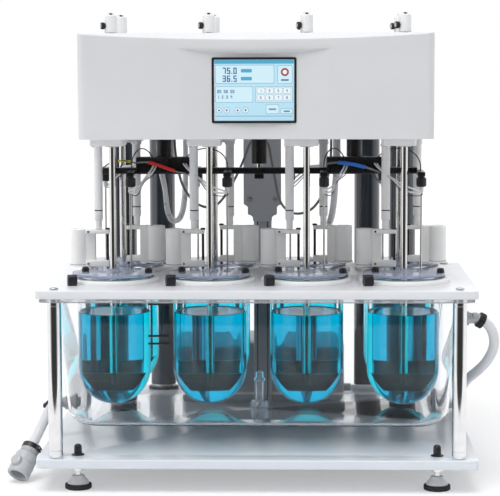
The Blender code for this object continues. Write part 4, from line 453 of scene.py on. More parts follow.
def lathe(profile: Outline, sides: int = ROUND, closed: bool = False) -> Shape:
    """Turn a profile round Z.

    Args:
        profile: radius and level of each point.
        sides: faces round the turn.
        closed: whether the profile is a loop, as of a ring, or ends on the axis or in flat caps.

    Returns:
        The closed shape.
    """
    bm = bmesh.new()
    rings = []
    for radius, level in profile:
        if radius < 1e-7:
            rings.append([bm.verts.new((0.0, 0.0, level))])
        else:
            rings.append([bm.verts.new((x, y, level)) for x, y in circle(0.0, 0.0, radius, sides)])
    pairs = list(zip(rings, rings[1:])) + ([(rings[-1], rings[0])] if closed else [])
    for a, b in pairs:
        for i in range(sides):
            j = (i + 1) % sides
            if len(a) == 1 and len(b) > 1:
                bm.faces.new((a[0], b[i], b[j]))
            elif len(b) == 1 and len(a) > 1:
                bm.faces.new((a[i], b[0], a[j]))
            elif len(a) > 1:
                bm.faces.new((a[i], b[i], b[j], a[j]))
    if not closed:
        for ring in (rings[0], rings[-1]):
            if len(ring) > 1:
                bm.faces.new(ring)
    return bm


def rod(radius: float, low: float, high: float, edge: float = 0.0004, sides: int = FINE) -> Shape:
    """A round bar along Z with eased ends."""
    return lathe([(0.0, low), (radius - edge, low), (radius, low + edge), (radius, high - edge),
                  (radius - edge, high), (0.0, high)], sides)


def block(size: Point, centre: Point, edge: float = 0.0008, segments: int = 3) -> Shape:
    """A block with eased edges."""
    bm = bmesh.new()
    bmesh.ops.create_cube(bm, size=1.0)
    bmesh.ops.scale(bm, vec=size, verts=bm.verts)
    if edge > 0.0:
        bmesh.ops.bevel(bm, geom=list(bm.edges), offset=min(edge, min(size) * 0.45), segments=segments,
                        profile=0.5, affect="EDGES")
    bmesh.ops.translate(bm, vec=centre, verts=bm.verts)
    return bm


def prism(outline: Outline, low: float, high: float, edge: float = 0.0) -> Shape:
    """A solid outline raised along Z, with eased rims.

    Args:
        outline: points of the outline, in order.
        low: level of its underside.
        high: level of its top.
        edge: width of the easing on both rims.

    Returns:
        The closed shape.
    """
    bm = bmesh.new()
    under = [bm.verts.new((x, y, low)) for x, y in outline]
    over = [bm.verts.new((x, y, high)) for x, y in outline]
    faces = [bm.faces.new(list(reversed(under))), bm.faces.new(over)]
    for i in range(len(outline)):
        j = (i + 1) % len(outline)
        bm.faces.new((under[i], under[j], over[j], over[i]))
    if edge > 0.0:
        rims = {e for face in faces for e in face.edges}
        bmesh.ops.bevel(bm, geom=list(rims), offset=edge, segments=3, profile=0.5, affect="EDGES")
    return bm


def mesh_of(obj: Object) -> bpy.types.Mesh:
    """Plain mesh of an object as its modifiers leave it; the object is removed."""
    shown(obj)
    graph = bpy.context.evaluated_depsgraph_get()
    mesh = bpy.data.meshes.new_from_object(obj.evaluated_get(graph), depsgraph=graph)
    bpy.data.objects.remove(obj, do_unlink=True)
    return mesh


def as_bmesh(mesh: bpy.types.Mesh) -> Shape:
    """Mesh data as an editable shape; the mesh is removed."""
    bm = bmesh.new()
    bm.from_mesh(mesh)
    bpy.data.meshes.remove(mesh)
    return bm


def pierced(outline: Profile, holes: Sequence[Profile], low: float, high: float,
            edge: float = 0.0006) -> Shape:
    """A plate with holes and eased edges.

    Args:
        outline: its outer line, anticlockwise.
        holes: the line of each hole, anticlockwise.
        low: level of its underside.
        high: level of its top.
        edge: width of the easing.

    Returns:
        The closed shape.
    """
    curve = bpy.data.curves.new("plate", "CURVE")
    curve.dimensions = "2D"
    curve.fill_mode = "BOTH"
    curve.extrude = (high - low) / 2 - edge
    curve.bevel_depth = edge
    curve.bevel_resolution = 2
    curve.offset = -edge
    for loop in [list(outline)] + [list(reversed(hole)) for hole in holes]:
        spline = curve.splines.new("POLY")
        spline.points.add(len(loop) - 1)
        for point, (x, y) in zip(spline.points, loop):
            point.co = (x, y, 0.0, 1.0)
        spline.use_cyclic_u = True
    bm = as_bmesh(mesh_of(bpy.data.objects.new("plate", curve)))
    bmesh.ops.remove_doubles(bm, verts=bm.verts, dist=1e-6)
    bmesh.ops.translate(bm, vec=(0.0, 0.0, (low + high) / 2), verts=bm.verts)
    return bm


def sweep(points: Sequence[Point], radius: float, sides: int = 12) -> Shape:
    """A round tube along a line, with domed ends.

    Args:
        points: the line it follows.
        radius: its radius.
        sides: faces round it.

    Returns:
        The closed shape.
    """
    path = [Vector(p) for p in points]
    bm = bmesh.new()
    ahead = (path[1] - path[0]).normalized()
    side = ahead.orthogonal().normalized()
    rings = []
    for i, here in enumerate(path):
        nearby = path[min(i + 1, len(path) - 1)] - path[max(i - 1, 0)]
        turn = ahead.rotation_difference(nearby.normalized())
        ahead = nearby.normalized()
        side = (turn @ side).normalized()
        other = ahead.cross(side)
        rings.append([bm.verts.new(here + (side * math.cos(a) + other * math.sin(a)) * radius)
                      for a in (2 * math.pi * k / sides for k in range(sides))])
    for a, b in zip(rings, rings[1:]):
        for k in range(sides):
            j = (k + 1) % sides
            bm.faces.new((a[k], a[j], b[j], b[k]))
    for ring, tip in ((rings[0], path[0] * 2 - path[1]), (rings[-1], path[-1] * 2 - path[-2])):
        base = sum((v.co for v in ring), Vector()) / sides
        top = bm.verts.new(base + (tip - base).normalized() * radius * 0.35)
        for k in range(sides):
            bm.faces.new((ring[k], ring[(k + 1) % sides], top))
    return bm


def smooth_route(points: Sequence[Point], step: float) -> list[Point]:
    """Points along the natural cubic spline through a route.

    Args:
        points: the points it goes through.
        step: rough distance between the points that come back.

    Returns:
        Points along the curve, with both ends of the route.
    """
    path = [Vector(p) for p in points]
    knots = [0.0]
    for a, b in zip(path, path[1:]):
        knots.append(knots[-1] + (b - a).length)
    count = len(path)
    slopes = [Vector() for _ in path]
    upper = [0.0] * count
    for i in range(1, count - 1):
        h0, h1 = knots[i] - knots[i - 1], knots[i + 1] - knots[i]
        pull = 6 * ((path[i + 1] - path[i]) / h1 - (path[i] - path[i - 1]) / h0)
        pivot = 2 * (h0 + h1) - h0 * upper[i - 1]
        upper[i] = h1 / pivot
        slopes[i] = (pull - h0 * slopes[i - 1]) / pivot
    for i in range(count - 2, 0, -1):
        slopes[i] = slopes[i] - upper[i] * slopes[i + 1]
    total = max(2, round(knots[-1] / step))
    made, k = [], 0
    for n in range(total + 1):
        s = knots[-1] * n / total
        while k < count - 2 and s > knots[k + 1]:
            k += 1
        h = knots[k + 1] - knots[k]
        a, b = (knots[k + 1] - s) / h, (s - knots[k]) / h
        spot = (path[k] * a + path[k + 1] * b
                + (slopes[k] * (a ** 3 - a) + slopes[k + 1] * (b ** 3 - b)) * h * h / 6)
        made.append(tuple(spot))
    return made


def mm(*points: Sequence[float], above: float = 0.0) -> tuple[tuple[float, ...], ...]:
    """Points in metres, from points in millimetres.

    Args:
        points: the points.
        above: level in metres that their last numbers are counted from.

    Returns:
        The points in metres.
    """
    return tuple((*(value / 1000 for value in point[:-1]), point[-1] / 1000 + above) for point in points)


def turned_to(direction: Sequence[float]) -> Matrix:
    """Rotation that takes +Z to a direction."""
    return Vector(direction).to_track_quat("Z", "Y").to_matrix().to_4x4()


def quarter(axis: str, turns: int = 1) -> Matrix:
    """Rotation by quarter turns round an axis."""
    return Matrix.Rotation(turns * math.pi / 2, 4, axis)


def shown(obj: Object) -> Object:
    """The object itself, once it is in the scene."""
    bpy.context.scene.collection.objects.link(obj)
    return obj


def at(x: float, y: float, z: float = 0.0) -> Matrix:
    """Translation to a place."""
    return Matrix.Translation((x, y, z))


# ---------------------------------------------------------------- repeats


class Repeats:
    """Geometry Nodes trees that repeat a unit in a ring or a row, or run a tube along a line."""

    _trees: dict[str, bpy.types.NodeTree] = {}

    @classmethod
    def _start(cls, name: str, sizes: dict[str, str]) -> tuple[bpy.types.NodeTree, bpy.types.Node]:
        """Make an empty tree with a geometry input and named sizes.

        Args:
            name: name of the tree.
            sizes: socket type of each named input.

        Returns:
            The tree and its input node.
        """
        tree = bpy.data.node_groups.new(name, "GeometryNodeTree")
        tree.interface.new_socket("Geometry", in_out="INPUT", socket_type="NodeSocketGeometry")
        for label, kind in sizes.items():
            tree.interface.new_socket(label, in_out="INPUT", socket_type=kind)
        tree.interface.new_socket("Geometry", in_out="OUTPUT", socket_type="NodeSocketGeometry")
        cls._trees[name] = tree
        return tree, tree.nodes.new("NodeGroupInput")

    @staticmethod
    def _end(tree: bpy.types.NodeTree, source: Socket, given: bpy.types.Node,
             realize: bool = True) -> None:
        """Realize the instances, set the material and close the tree.

        Args:
            tree: the tree.
            source: geometry so far.
            given: its input node, with a Finish input.
            realize: whether there are instances to realize.
        """
        links = tree.links
        if realize:
            real = tree.nodes.new("GeometryNodeRealizeInstances")
            links.new(source, real.inputs["Geometry"])
            source = real.outputs["Geometry"]
        dress = tree.nodes.new("GeometryNodeSetMaterial")
        links.new(source, dress.inputs["Geometry"])
        links.new(given.outputs["Finish"], dress.inputs["Material"])
        out = tree.nodes.new("NodeGroupOutput")
        links.new(dress.outputs["Geometry"], out.inputs["Geometry"])

    @classmethod
    def ring_tree(cls) -> bpy.types.NodeTree:
        """Tree that turns copies of its geometry evenly round Z."""
        if "ring_of_units" in cls._trees:
            return cls._trees["ring_of_units"]
        tree, given = cls._start("ring_of_units", {"Count": "NodeSocketInt", "Finish": "NodeSocketMaterial"})
        nodes, links = tree.nodes, tree.links
        points = nodes.new("GeometryNodePoints")
        index = nodes.new("GeometryNodeInputIndex")
        part = nodes.new("ShaderNodeMath")
        part.operation = "DIVIDE"
        angle = nodes.new("ShaderNodeMath")
        angle.operation = "MULTIPLY"
        angle.inputs[1].default_value = 2 * math.pi
        turn = nodes.new("ShaderNodeCombineXYZ")
        copies = nodes.new("GeometryNodeInstanceOnPoints")
        links.new(given.outputs["Count"], points.inputs["Count"])
        links.new(index.outputs["Index"], part.inputs[0])
        links.new(given.outputs["Count"], part.inputs[1])
        links.new(part.outputs[0], angle.inputs[0])
        links.new(angle.outputs[0], turn.inputs["Z"])
        links.new(points.outputs[0], copies.inputs["Points"])
        links.new(given.outputs["Geometry"], copies.inputs["Instance"])
        links.new(turn.outputs[0], copies.inputs["Rotation"])
        cls._end(tree, copies.outputs["Instances"], given)
        return tree

    @classmethod
    def row_tree(cls) -> bpy.types.NodeTree:
        """Tree that sets copies of its geometry a step apart in a row."""
        if "row_of_units" in cls._trees:
            return cls._trees["row_of_units"]
        tree, given = cls._start("row_of_units", {"Count": "NodeSocketInt", "Step": "NodeSocketVector",
                                                  "Finish": "NodeSocketMaterial"})
        nodes, links = tree.nodes, tree.links
        line = nodes.new("GeometryNodeMeshLine")
        line.mode = "OFFSET"
        copies = nodes.new("GeometryNodeInstanceOnPoints")
        links.new(given.outputs["Count"], line.inputs["Count"])
        links.new(given.outputs["Step"], line.inputs["Offset"])
        links.new(line.outputs["Mesh"], copies.inputs["Points"])
        links.new(given.outputs["Geometry"], copies.inputs["Instance"])
        cls._end(tree, copies.outputs["Instances"], given)
        return tree

    @classmethod
    def tube_tree(cls) -> bpy.types.NodeTree:
        """Tree that runs a round section along its curve."""
        if "tube_on_line" in cls._trees:
            return cls._trees["tube_on_line"]
        tree, given = cls._start("tube_on_line", {"Radius": "NodeSocketFloat", "Sides": "NodeSocketInt",
                                                  "Finish": "NodeSocketMaterial"})
        nodes, links = tree.nodes, tree.links
        section = nodes.new("GeometryNodeCurvePrimitiveCircle")
        tube = nodes.new("GeometryNodeCurveToMesh")
        tube.inputs["Fill Caps"].default_value = True
        links.new(given.outputs["Sides"], section.inputs["Resolution"])
        links.new(given.outputs["Radius"], section.inputs["Radius"])
        links.new(given.outputs["Geometry"], tube.inputs["Curve"])
        links.new(section.outputs["Curve"], tube.inputs["Profile Curve"])
        cls._end(tree, tube.outputs["Mesh"], given, realize=False)
        return tree

    @staticmethod
    def _grown(obj: Object, tree: bpy.types.NodeTree, values: dict[str, object]) -> Shape:
        """Run a tree on an object.

        Args:
            obj: unit or line, which is used up.
            tree: the tree to run.
            values: value of each named input.

        Returns:
            The plain shape that the tree makes.
        """
        grower = obj.modifiers.new("repeat", "NODES")
        grower.node_group = tree
        for item in tree.interface.items_tree:
            if item.in_out == "INPUT" and item.name in values:
                grower[item.identifier] = values[item.name]
        return as_bmesh(mesh_of(obj))

    @classmethod
    def _unit(cls, unit: Shape) -> Object:
        """A temporary object that holds a unit."""
        bmesh.ops.recalc_face_normals(unit, faces=unit.faces)
        mesh = bpy.data.meshes.new("unit")
        unit.to_mesh(mesh)
        unit.free()
        return bpy.data.objects.new("unit", mesh)

    @classmethod
    def ring(cls, unit: Shape, count: int, finish: Finish) -> Shape:
        """Copies of a unit evenly round Z."""
        return cls._grown(cls._unit(unit), cls.ring_tree(), {"Count": count, "Finish": finish.material()})

    @classmethod
    def row(cls, unit: Shape, count: int, step: Point, finish: Finish) -> Shape:
        """Copies of a unit a step apart."""
        return cls._grown(cls._unit(unit), cls.row_tree(),
                          {"Count": count, "Step": step, "Finish": finish.material()})

    @classmethod
    def tube(cls, points: Sequence[Point], radius: float, sides: int, finish: Finish) -> Shape:
        """A tube along a line, with flat ends."""
        return cls._grown(bpy.data.objects.new("line", line_curve("line", points)), cls.tube_tree(),
                          {"Radius": radius, "Sides": sides, "Finish": finish.material()})


def line_curve(name: str, points: Sequence[Point]) -> bpy.types.Curve:
    """A curve of one straight-stepped open spline through points."""
    curve = bpy.data.curves.new(name, "CURVE")
    curve.dimensions = "3D"
    spline = curve.splines.new("POLY")
    spline.points.add(len(points) - 1)
    for point, place in zip(spline.points, points):
        point.co = (*place, 1.0)
    return curve


# ---------------------------------------------------------------- pieces


class Piece:
    """A piece under construction: shapes with their finishes, then one mesh that rides on a body."""

    def __init__(self, name: str) -> None:
        """Start an empty piece.

        Args:
            name: name of the finished object.
        """
        self.name = name
        self.bm = bmesh.new()
        self.finishes: list[Finish] = []

    def add(self, shape: Shape, finish: Finish, place: Matrix | None = None) -> "Piece":
        """Add a closed shape.

        Args:
            shape: the shape, which is used up.
            finish: its finish.
            place: where it goes, if it isn't in place already.

        Returns:
            This piece.
        """
        if place is not None:
            bmesh.ops.transform(shape, matrix=place, verts=shape.verts)
        bmesh.ops.recalc_face_normals(shape, faces=shape.faces)
        if finish not in self.finishes:
            self.finishes.append(finish)
        for face in shape.faces:
            face.material_index = self.finishes.index(finish)
        mesh = bpy.data.meshes.new("shape")
        shape.to_mesh(mesh)
        shape.free()
        self.bm.from_mesh(mesh)
        bpy.data.meshes.remove(mesh)
        return self

    def turn(self, profile: Outline, finish: Finish, place: Matrix | None = None,
             sides: int = ROUND, closed: bool = False) -> None:
        """Add a shape turned round Z."""
        self.add(lathe(profile, sides, closed), finish, place)

    def ring(self, unit: Shape, count: int, finish: Finish, place: Matrix | None = None) -> None:
        """Add copies of a unit evenly round Z."""
        self.add(Repeats.ring(unit, count, finish), finish, place)

    def row(self, unit: Shape, count: int, step: Point, finish: Finish,
            place: Matrix | None = None) -> None:
        """Add copies of a unit a step apart."""
        self.add(Repeats.row(unit, count, step, finish), finish, place)

    def screw(self, place: Matrix, radius: float, height: float = 0.0016) -> None:
        """Add a steel pan head screw."""
        self.add(screw_head(radius, height), Rack.screw_steel, place)

    def tube(self, points: Sequence[Point], radius: float, sides: int, finish: Finish) -> None:
        """Add a tube along a line."""
        self.add(Repeats.tube(points, radius, sides, finish), finish)

    def ride(self, body: Body | str, slot: Slot, *nodes: str, sharp: float = SHARP_ANGLE) -> Object:
        """Finish the piece and hand it to the frame.

        Args:
            body: body that it moves with.
            slot: slot of the record; not used.
            nodes: CAD nodes that it stands for.
            sharp: angle over which an edge stays sharp.

        Returns:
            The finished object.
        """
        mesh = bpy.data.meshes.new(self.name)
        self.bm.to_mesh(mesh)
        self.bm.free()
        for finish in self.finishes:
            mesh.materials.append(finish.material())
        mesh.shade_smooth()
        mesh.set_sharp_from_angle(angle=sharp)
        obj = shown(bpy.data.objects.new(self.name, mesh))
        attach(obj, body.value if isinstance(body, Body) else body)
        if nodes:
            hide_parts(*nodes)
        LOG.info("%s: %d faces on %s", self.name, len(mesh.polygons), body)
        return obj


@dataclass(frozen=True)
class Station:
    """One stirring place of the grid."""

    number: int
    x: float
    y: float
    turned: bool

    @property
    def place(self) -> Matrix:
        """Placement of what is drawn for the front row."""
        return at(self.x, self.y) @ Matrix.Rotation(math.pi if self.turned else 0.0, 4, "Z")

    @property
    def upright(self) -> Matrix:
        """Placement of what keeps its heading in both rows."""
        return at(self.x, self.y)

    @property
    def body(self) -> str:
        """Body of its shaft and paddle."""
        return f"stirrer_{self.number}"


STATION_COLUMNS = (-0.21, -0.07, 0.07, 0.21)
FRONT_ROW, BACK_ROW = -0.172, -0.022
STATIONS = ([Station(i + 1, x, FRONT_ROW, False) for i, x in enumerate(STATION_COLUMNS)]
            + [Station(i + 5, x, BACK_ROW, True) for i, x in enumerate(STATION_COLUMNS)])


# ---------------------------------------------------------------- studio


@dataclass
class Studio:
    """White surroundings, floor, sun lamps and camera of the photograph."""

    eye: Point = (0.0722, -2.923, 0.618)
    yaw: float = 1.75
    pitch: float = 5.9
    roll: float = -0.18
    lens: float = 137.9
    ambient: float = 0.56
    dark_strip: float = 0.04
    floor_front: float = -0.9

    def build(self) -> None:
        """Make the camera, the light and the floor."""
        self._camera()
        self._world()
        self._lamps()
        self._floor()
        scene = bpy.context.scene
        scene.view_settings.view_transform = "Standard"
        scene.cycles.max_bounces = 24
        scene.cycles.transmission_bounces = 24
        scene.cycles.transparent_max_bounces = 24

    def _camera(self) -> None:
        """Camera at the photograph's eye point, without shift."""
        data = bpy.data.cameras.new("photo_camera")
        data.lens = self.lens
        data.sensor_width = 36.0
        data.clip_end = 60.0
        data.dof.use_dof = False
        camera = shown(bpy.data.objects.new("photo_camera", data))
        camera.matrix_world = (Matrix.Translation(self.eye)
                               @ Matrix.Rotation(math.radians(self.yaw), 4, "Z")
                               @ Matrix.Rotation(math.radians(90.0 - self.pitch), 4, "X")
                               @ Matrix.Rotation(math.radians(self.roll), 4, "Z"))
        bpy.context.scene.camera = camera

    def _world(self) -> None:
        """White for what the camera and the glass see, softer for diffuse light, with a dark strip to reflect."""
        world = bpy.data.worlds.new("white_room")
        bpy.context.scene.world = world
        world.use_nodes = True
        nodes, links = world.node_tree.nodes, world.node_tree.links
        nodes.clear()
        out = nodes.new("ShaderNodeOutputWorld")
        rays = nodes.new("ShaderNodeLightPath")

        def maths(kind: str, a: object, b: object) -> Socket:
            """One maths node on two sockets or numbers."""
            node = nodes.new("ShaderNodeMath")
            node.operation = kind
            for socket, value in zip(node.inputs, (a, b)):
                if isinstance(value, Socket):
                    links.new(value, socket)
                else:
                    socket.default_value = value
            return node.outputs[0]

        coords = nodes.new("ShaderNodeTexCoord")
        split = nodes.new("ShaderNodeSeparateXYZ")
        links.new(coords.outputs["Generated"], split.inputs[0])
        heading = maths("ARCTAN2", split.outputs["X"], maths("MULTIPLY", split.outputs["Y"], -1.0))
        strip = nodes.new("ShaderNodeMapRange")
        strip.interpolation_type = "SMOOTHSTEP"
        strip.inputs["From Min"].default_value = math.radians(32.0)
        strip.inputs["From Max"].default_value = math.radians(72.0)
        strip.inputs["To Min"].default_value = self.dark_strip
        strip.inputs["To Max"].default_value = 1.0
        links.new(maths("ABSOLUTE", heading, 0.0), strip.inputs["Value"])

        def glow(strength: object) -> Socket:
            """A white background of one strength."""
            node = nodes.new("ShaderNodeBackground")
            node.inputs["Color"].default_value = (1.0, 1.0, 1.0, 1.0)
            if isinstance(strength, Socket):
                links.new(strength, node.inputs["Strength"])
            else:
                node.inputs["Strength"].default_value = strength
            return node.outputs[0]

        def choose(fac: Socket, no: Socket,
                   yes: Socket) -> Socket:
            """One of two shaders."""
            node = nodes.new("ShaderNodeMixShader")
            links.new(fac, node.inputs[0])
            links.new(no, node.inputs[1])
            links.new(yes, node.inputs[2])
            return node.outputs[0]

        bent = maths("MAXIMUM", rays.outputs["Is Glossy Ray"], rays.outputs["Is Transmission Ray"])
        light = choose(bent, glow(self.ambient), glow(strip.outputs["Result"]))
        links.new(choose(rays.outputs["Is Camera Ray"], light, glow(1.0)), out.inputs["Surface"])

    def _lamps(self) -> None:
        """Three wide suns: from above and in front, low from the left, and from behind over the base."""
        for name, power, angle, heading in (("sun_above", 1.95, 36.0, (-0.2, -0.72, 1.95)),
                                            ("sun_left", 0.4, 60.0, (-1.6, -1.0, 0.8)),
                                            ("sun_back", 0.55, 110.0, (0.35, 1.5, 0.9))):
            data = bpy.data.lights.new(name, "SUN")
            data.energy = power
            data.angle = math.radians(angle)
            shown(bpy.data.objects.new(name, data)).matrix_world = turned_to(heading)

    def _floor(self) -> None:
        """White floor that shows a soft shadow and no horizon."""
        material = bpy.data.materials.new("studio_floor")
        material.use_nodes = True
        nodes, links = material.node_tree.nodes, material.node_tree.links
        nodes.clear()
        out = nodes.new("ShaderNodeOutputMaterial")
        rays = nodes.new("ShaderNodeLightPath")
        plain = nodes.new("ShaderNodeBsdfDiffuse")
        plain.inputs["Color"].default_value = (0.86, 0.86, 0.87, 1.0)
        lit = nodes.new("ShaderNodeEmission")
        lit.inputs["Strength"].default_value = 1.08
        flip = nodes.new("ShaderNodeMath")
        flip.operation = "MULTIPLY_ADD"
        flip.inputs[1].default_value = -0.32
        flip.inputs[2].default_value = 0.32
        mix = nodes.new("ShaderNodeMixShader")
        links.new(rays.outputs["Is Diffuse Ray"], flip.inputs[0])
        links.new(flip.outputs[0], mix.inputs[0])
        links.new(plain.outputs[0], mix.inputs[1])
        links.new(lit.outputs[0], mix.inputs[2])
        links.new(mix.outputs[0], out.inputs["Surface"])
        bm = bmesh.new()
        corners = ((-16.0, self.floor_front), (16.0, self.floor_front), (16.0, 16.0), (-16.0, 16.0))
        bm.faces.new([bm.verts.new((x, y, 0.0)) for x, y in corners])
        mesh = bpy.data.meshes.new("studio_floor")
        bm.to_mesh(mesh)
        bm.free()
        mesh.materials.append(material)
        shown(bpy.data.objects.new("studio_floor", mesh))


# ---------------------------------------------------------------- cords


@dataclass
class Cords:
    """Hoses, tube bundles and the signal cable, along the routes of their solids."""

    hose_width: float = 0.0145
    bundle_width: float = 0.009
    cable_width: float = 0.0038
    drain: tuple[Point, ...] = mm((-304.5, -129, 96.5), (-307, -139.5, 94.2), (-310.7, -152.5, 87.6),
                                  (-316.5, -168.5, 74.7), (-323.8, -184.8, 58.2), (-330.2, -197.7, 44.2))
    filler: tuple[Point, ...] = mm((311, -227, 239), (324.5, -225.5, 232), (334.5, -219.5, 216.5),
                                   (337, -209, 197.5), (332, -194.5, 178), (322.5, -175.5, 160.5), (312, -150, 145),
                                   (306, -117, 131), (304, -75, 115), (303.5, -30, 96), (304, 15, 77),
                                   (303, 60, 63), (292, 102, 57), (266, 138, 56), (230, 165, 57), (194, 181, 60),
                                   (170, 184.8, 62), (156, 185, 62.3), (142.7, 185, 62.3))
    left_bundle: tuple[Point, ...] = mm((-150, -75, 495), (-150, -74.5, 475), (-148, -72, 445), (-142, -68, 410),
                                        (-140, -52, 380), (-134, -20, 360), (-125, 15, 362), (-120, 45, 390),
                                        (-119, 56, 430), (-119, 58, 470), (-119, 58, 495))
    right_bundle: tuple[Point, ...] = mm((116, -75, 495), (116, -74.5, 475), (115, -72, 445), (111, -68, 410),
                                         (108, -52, 378), (104, -20, 357), (108, 15, 360), (113, 45, 390),
                                         (115, 56, 430), (115, 58, 470), (115, 58, 495))
    cable: tuple[Point, ...] = mm((-127, -68, 495), (-127, -68, 480), (-124, -63, 450), (-118, -51, 420),
                                  (-108, -31, 398), (-94, -11, 383), (-74, 2, 379), (-56, 14, 395), (-38, 29, 426),
                                  (-24, 42, 459), (-14, 48, 480), (-4, 50, 487), (6, 48, 480), (14, 40, 456),
                                  (22, 27, 415), (33, 14, 380), (50, 4, 369), (70, -4, 372), (87, -19, 388),
                                  (99, -37, 418), (105.5, -50, 450), (106.5, -56, 478), (106.5, -57, 495))

    def build(self, coupling: Object, latch: Object) -> None:
        """Make every cord.

        Args:
            coupling: the coupling on the end of the drain hose; not used.
            latch: the latch on the coupling; not used.
        """
        hose = dict(diameter=self.hose_width, stiffness="medium")
        self._cord("drain_hose_line", self.drain, Rack.vinyl, Body.STAND, Slot.HOSE, "drain_hose",
                   far_end="connector", lay="hanging", with_pieces=[coupling, latch], **hose)
        self._cord("filler_hose_line", self.filler, Rack.vinyl, Body.STAND, Slot.HOSE, "filler_hose",
                   far_end="object", lay="hanging", **hose)
        for side, route in (("left", self.left_bundle), ("right", self.right_bundle)):
            self._bundle(f"sample_bundle_{side}_tubes", route, f"sample_bundle_{side}")
        self._cord("signal_cable_line", self.cable, Rack.cable, Body.HEAD, Slot.CABLE, "signal_cable",
                   far_end="object", lay="hanging", diameter=self.cable_width, stiffness="limp")

    @staticmethod
    def _length(points: Sequence[Point]) -> float:
        """Length of a line through points."""
        return sum((Vector(b) - Vector(a)).length for a, b in zip(points, points[1:]))

    def _cord(self, name: str, route: Sequence[Point], finish: Finish, body: Body, slot: Slot, node: str,
              **facts: object) -> None:
        """One round cord as a curve.

        Args:
            name: name of the piece.
            route: the points that it goes through.
            finish: its finish.
            body: body that it rides on.
            slot: its slot in the record; not used.
            node: CAD solid that it stands for.
        """
        line = smooth_route(route, 0.004)
        curve = line_curve(name, line)
        curve.bevel_depth = facts["diameter"] / 2
        curve.bevel_resolution = 5
        curve.use_fill_caps = True
        curve.materials.append(finish.material())
        obj = shown(bpy.data.objects.new(name, curve))
        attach(obj, body.value)
        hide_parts(node)
        LOG.info("%s: %.3f m", name, self._length(line))

    def _bundle(self, name: str, route: Sequence[Point], node: str, tubes: int = 4) -> None:
        """Fine sample tubes that run round each other along one route.

        Args:
            name: name of the piece.
            route: the points that the middle of the bundle goes through.
            node: CAD solid that it stands for.
            tubes: number of tubes.
        """
        line = [Vector(p) for p in smooth_route(route, 0.004)]
        fine = self.bundle_width * 0.245
        orbit = self.bundle_width / 2 - fine
        side = (line[1] - line[0]).orthogonal().normalized()
        frames, ahead = [], (line[1] - line[0]).normalized()
        for i in range(len(line)):
            nearby = (line[min(i + 1, len(line) - 1)] - line[max(i - 1, 0)]).normalized()
            side = (ahead.rotation_difference(nearby) @ side).normalized()
            ahead = nearby
            frames.append((side, ahead.cross(side)))
        piece = Piece(name)
        for k in range(tubes):
            strand = []
            for i, (u, v) in enumerate(frames):
                a = 2 * math.pi * k / tubes + 1.1 * math.sin(i * 0.055) + 0.02 * i
                strand.append(tuple(line[i] + (u * math.cos(a) + v * math.sin(a)) * orbit))
            piece.tube(strand, fine, 10, Rack.tubing)
        obj = piece.ride(Body.HEAD, Slot.CLEAR, node)


# ---------------------------------------------------------------- stand


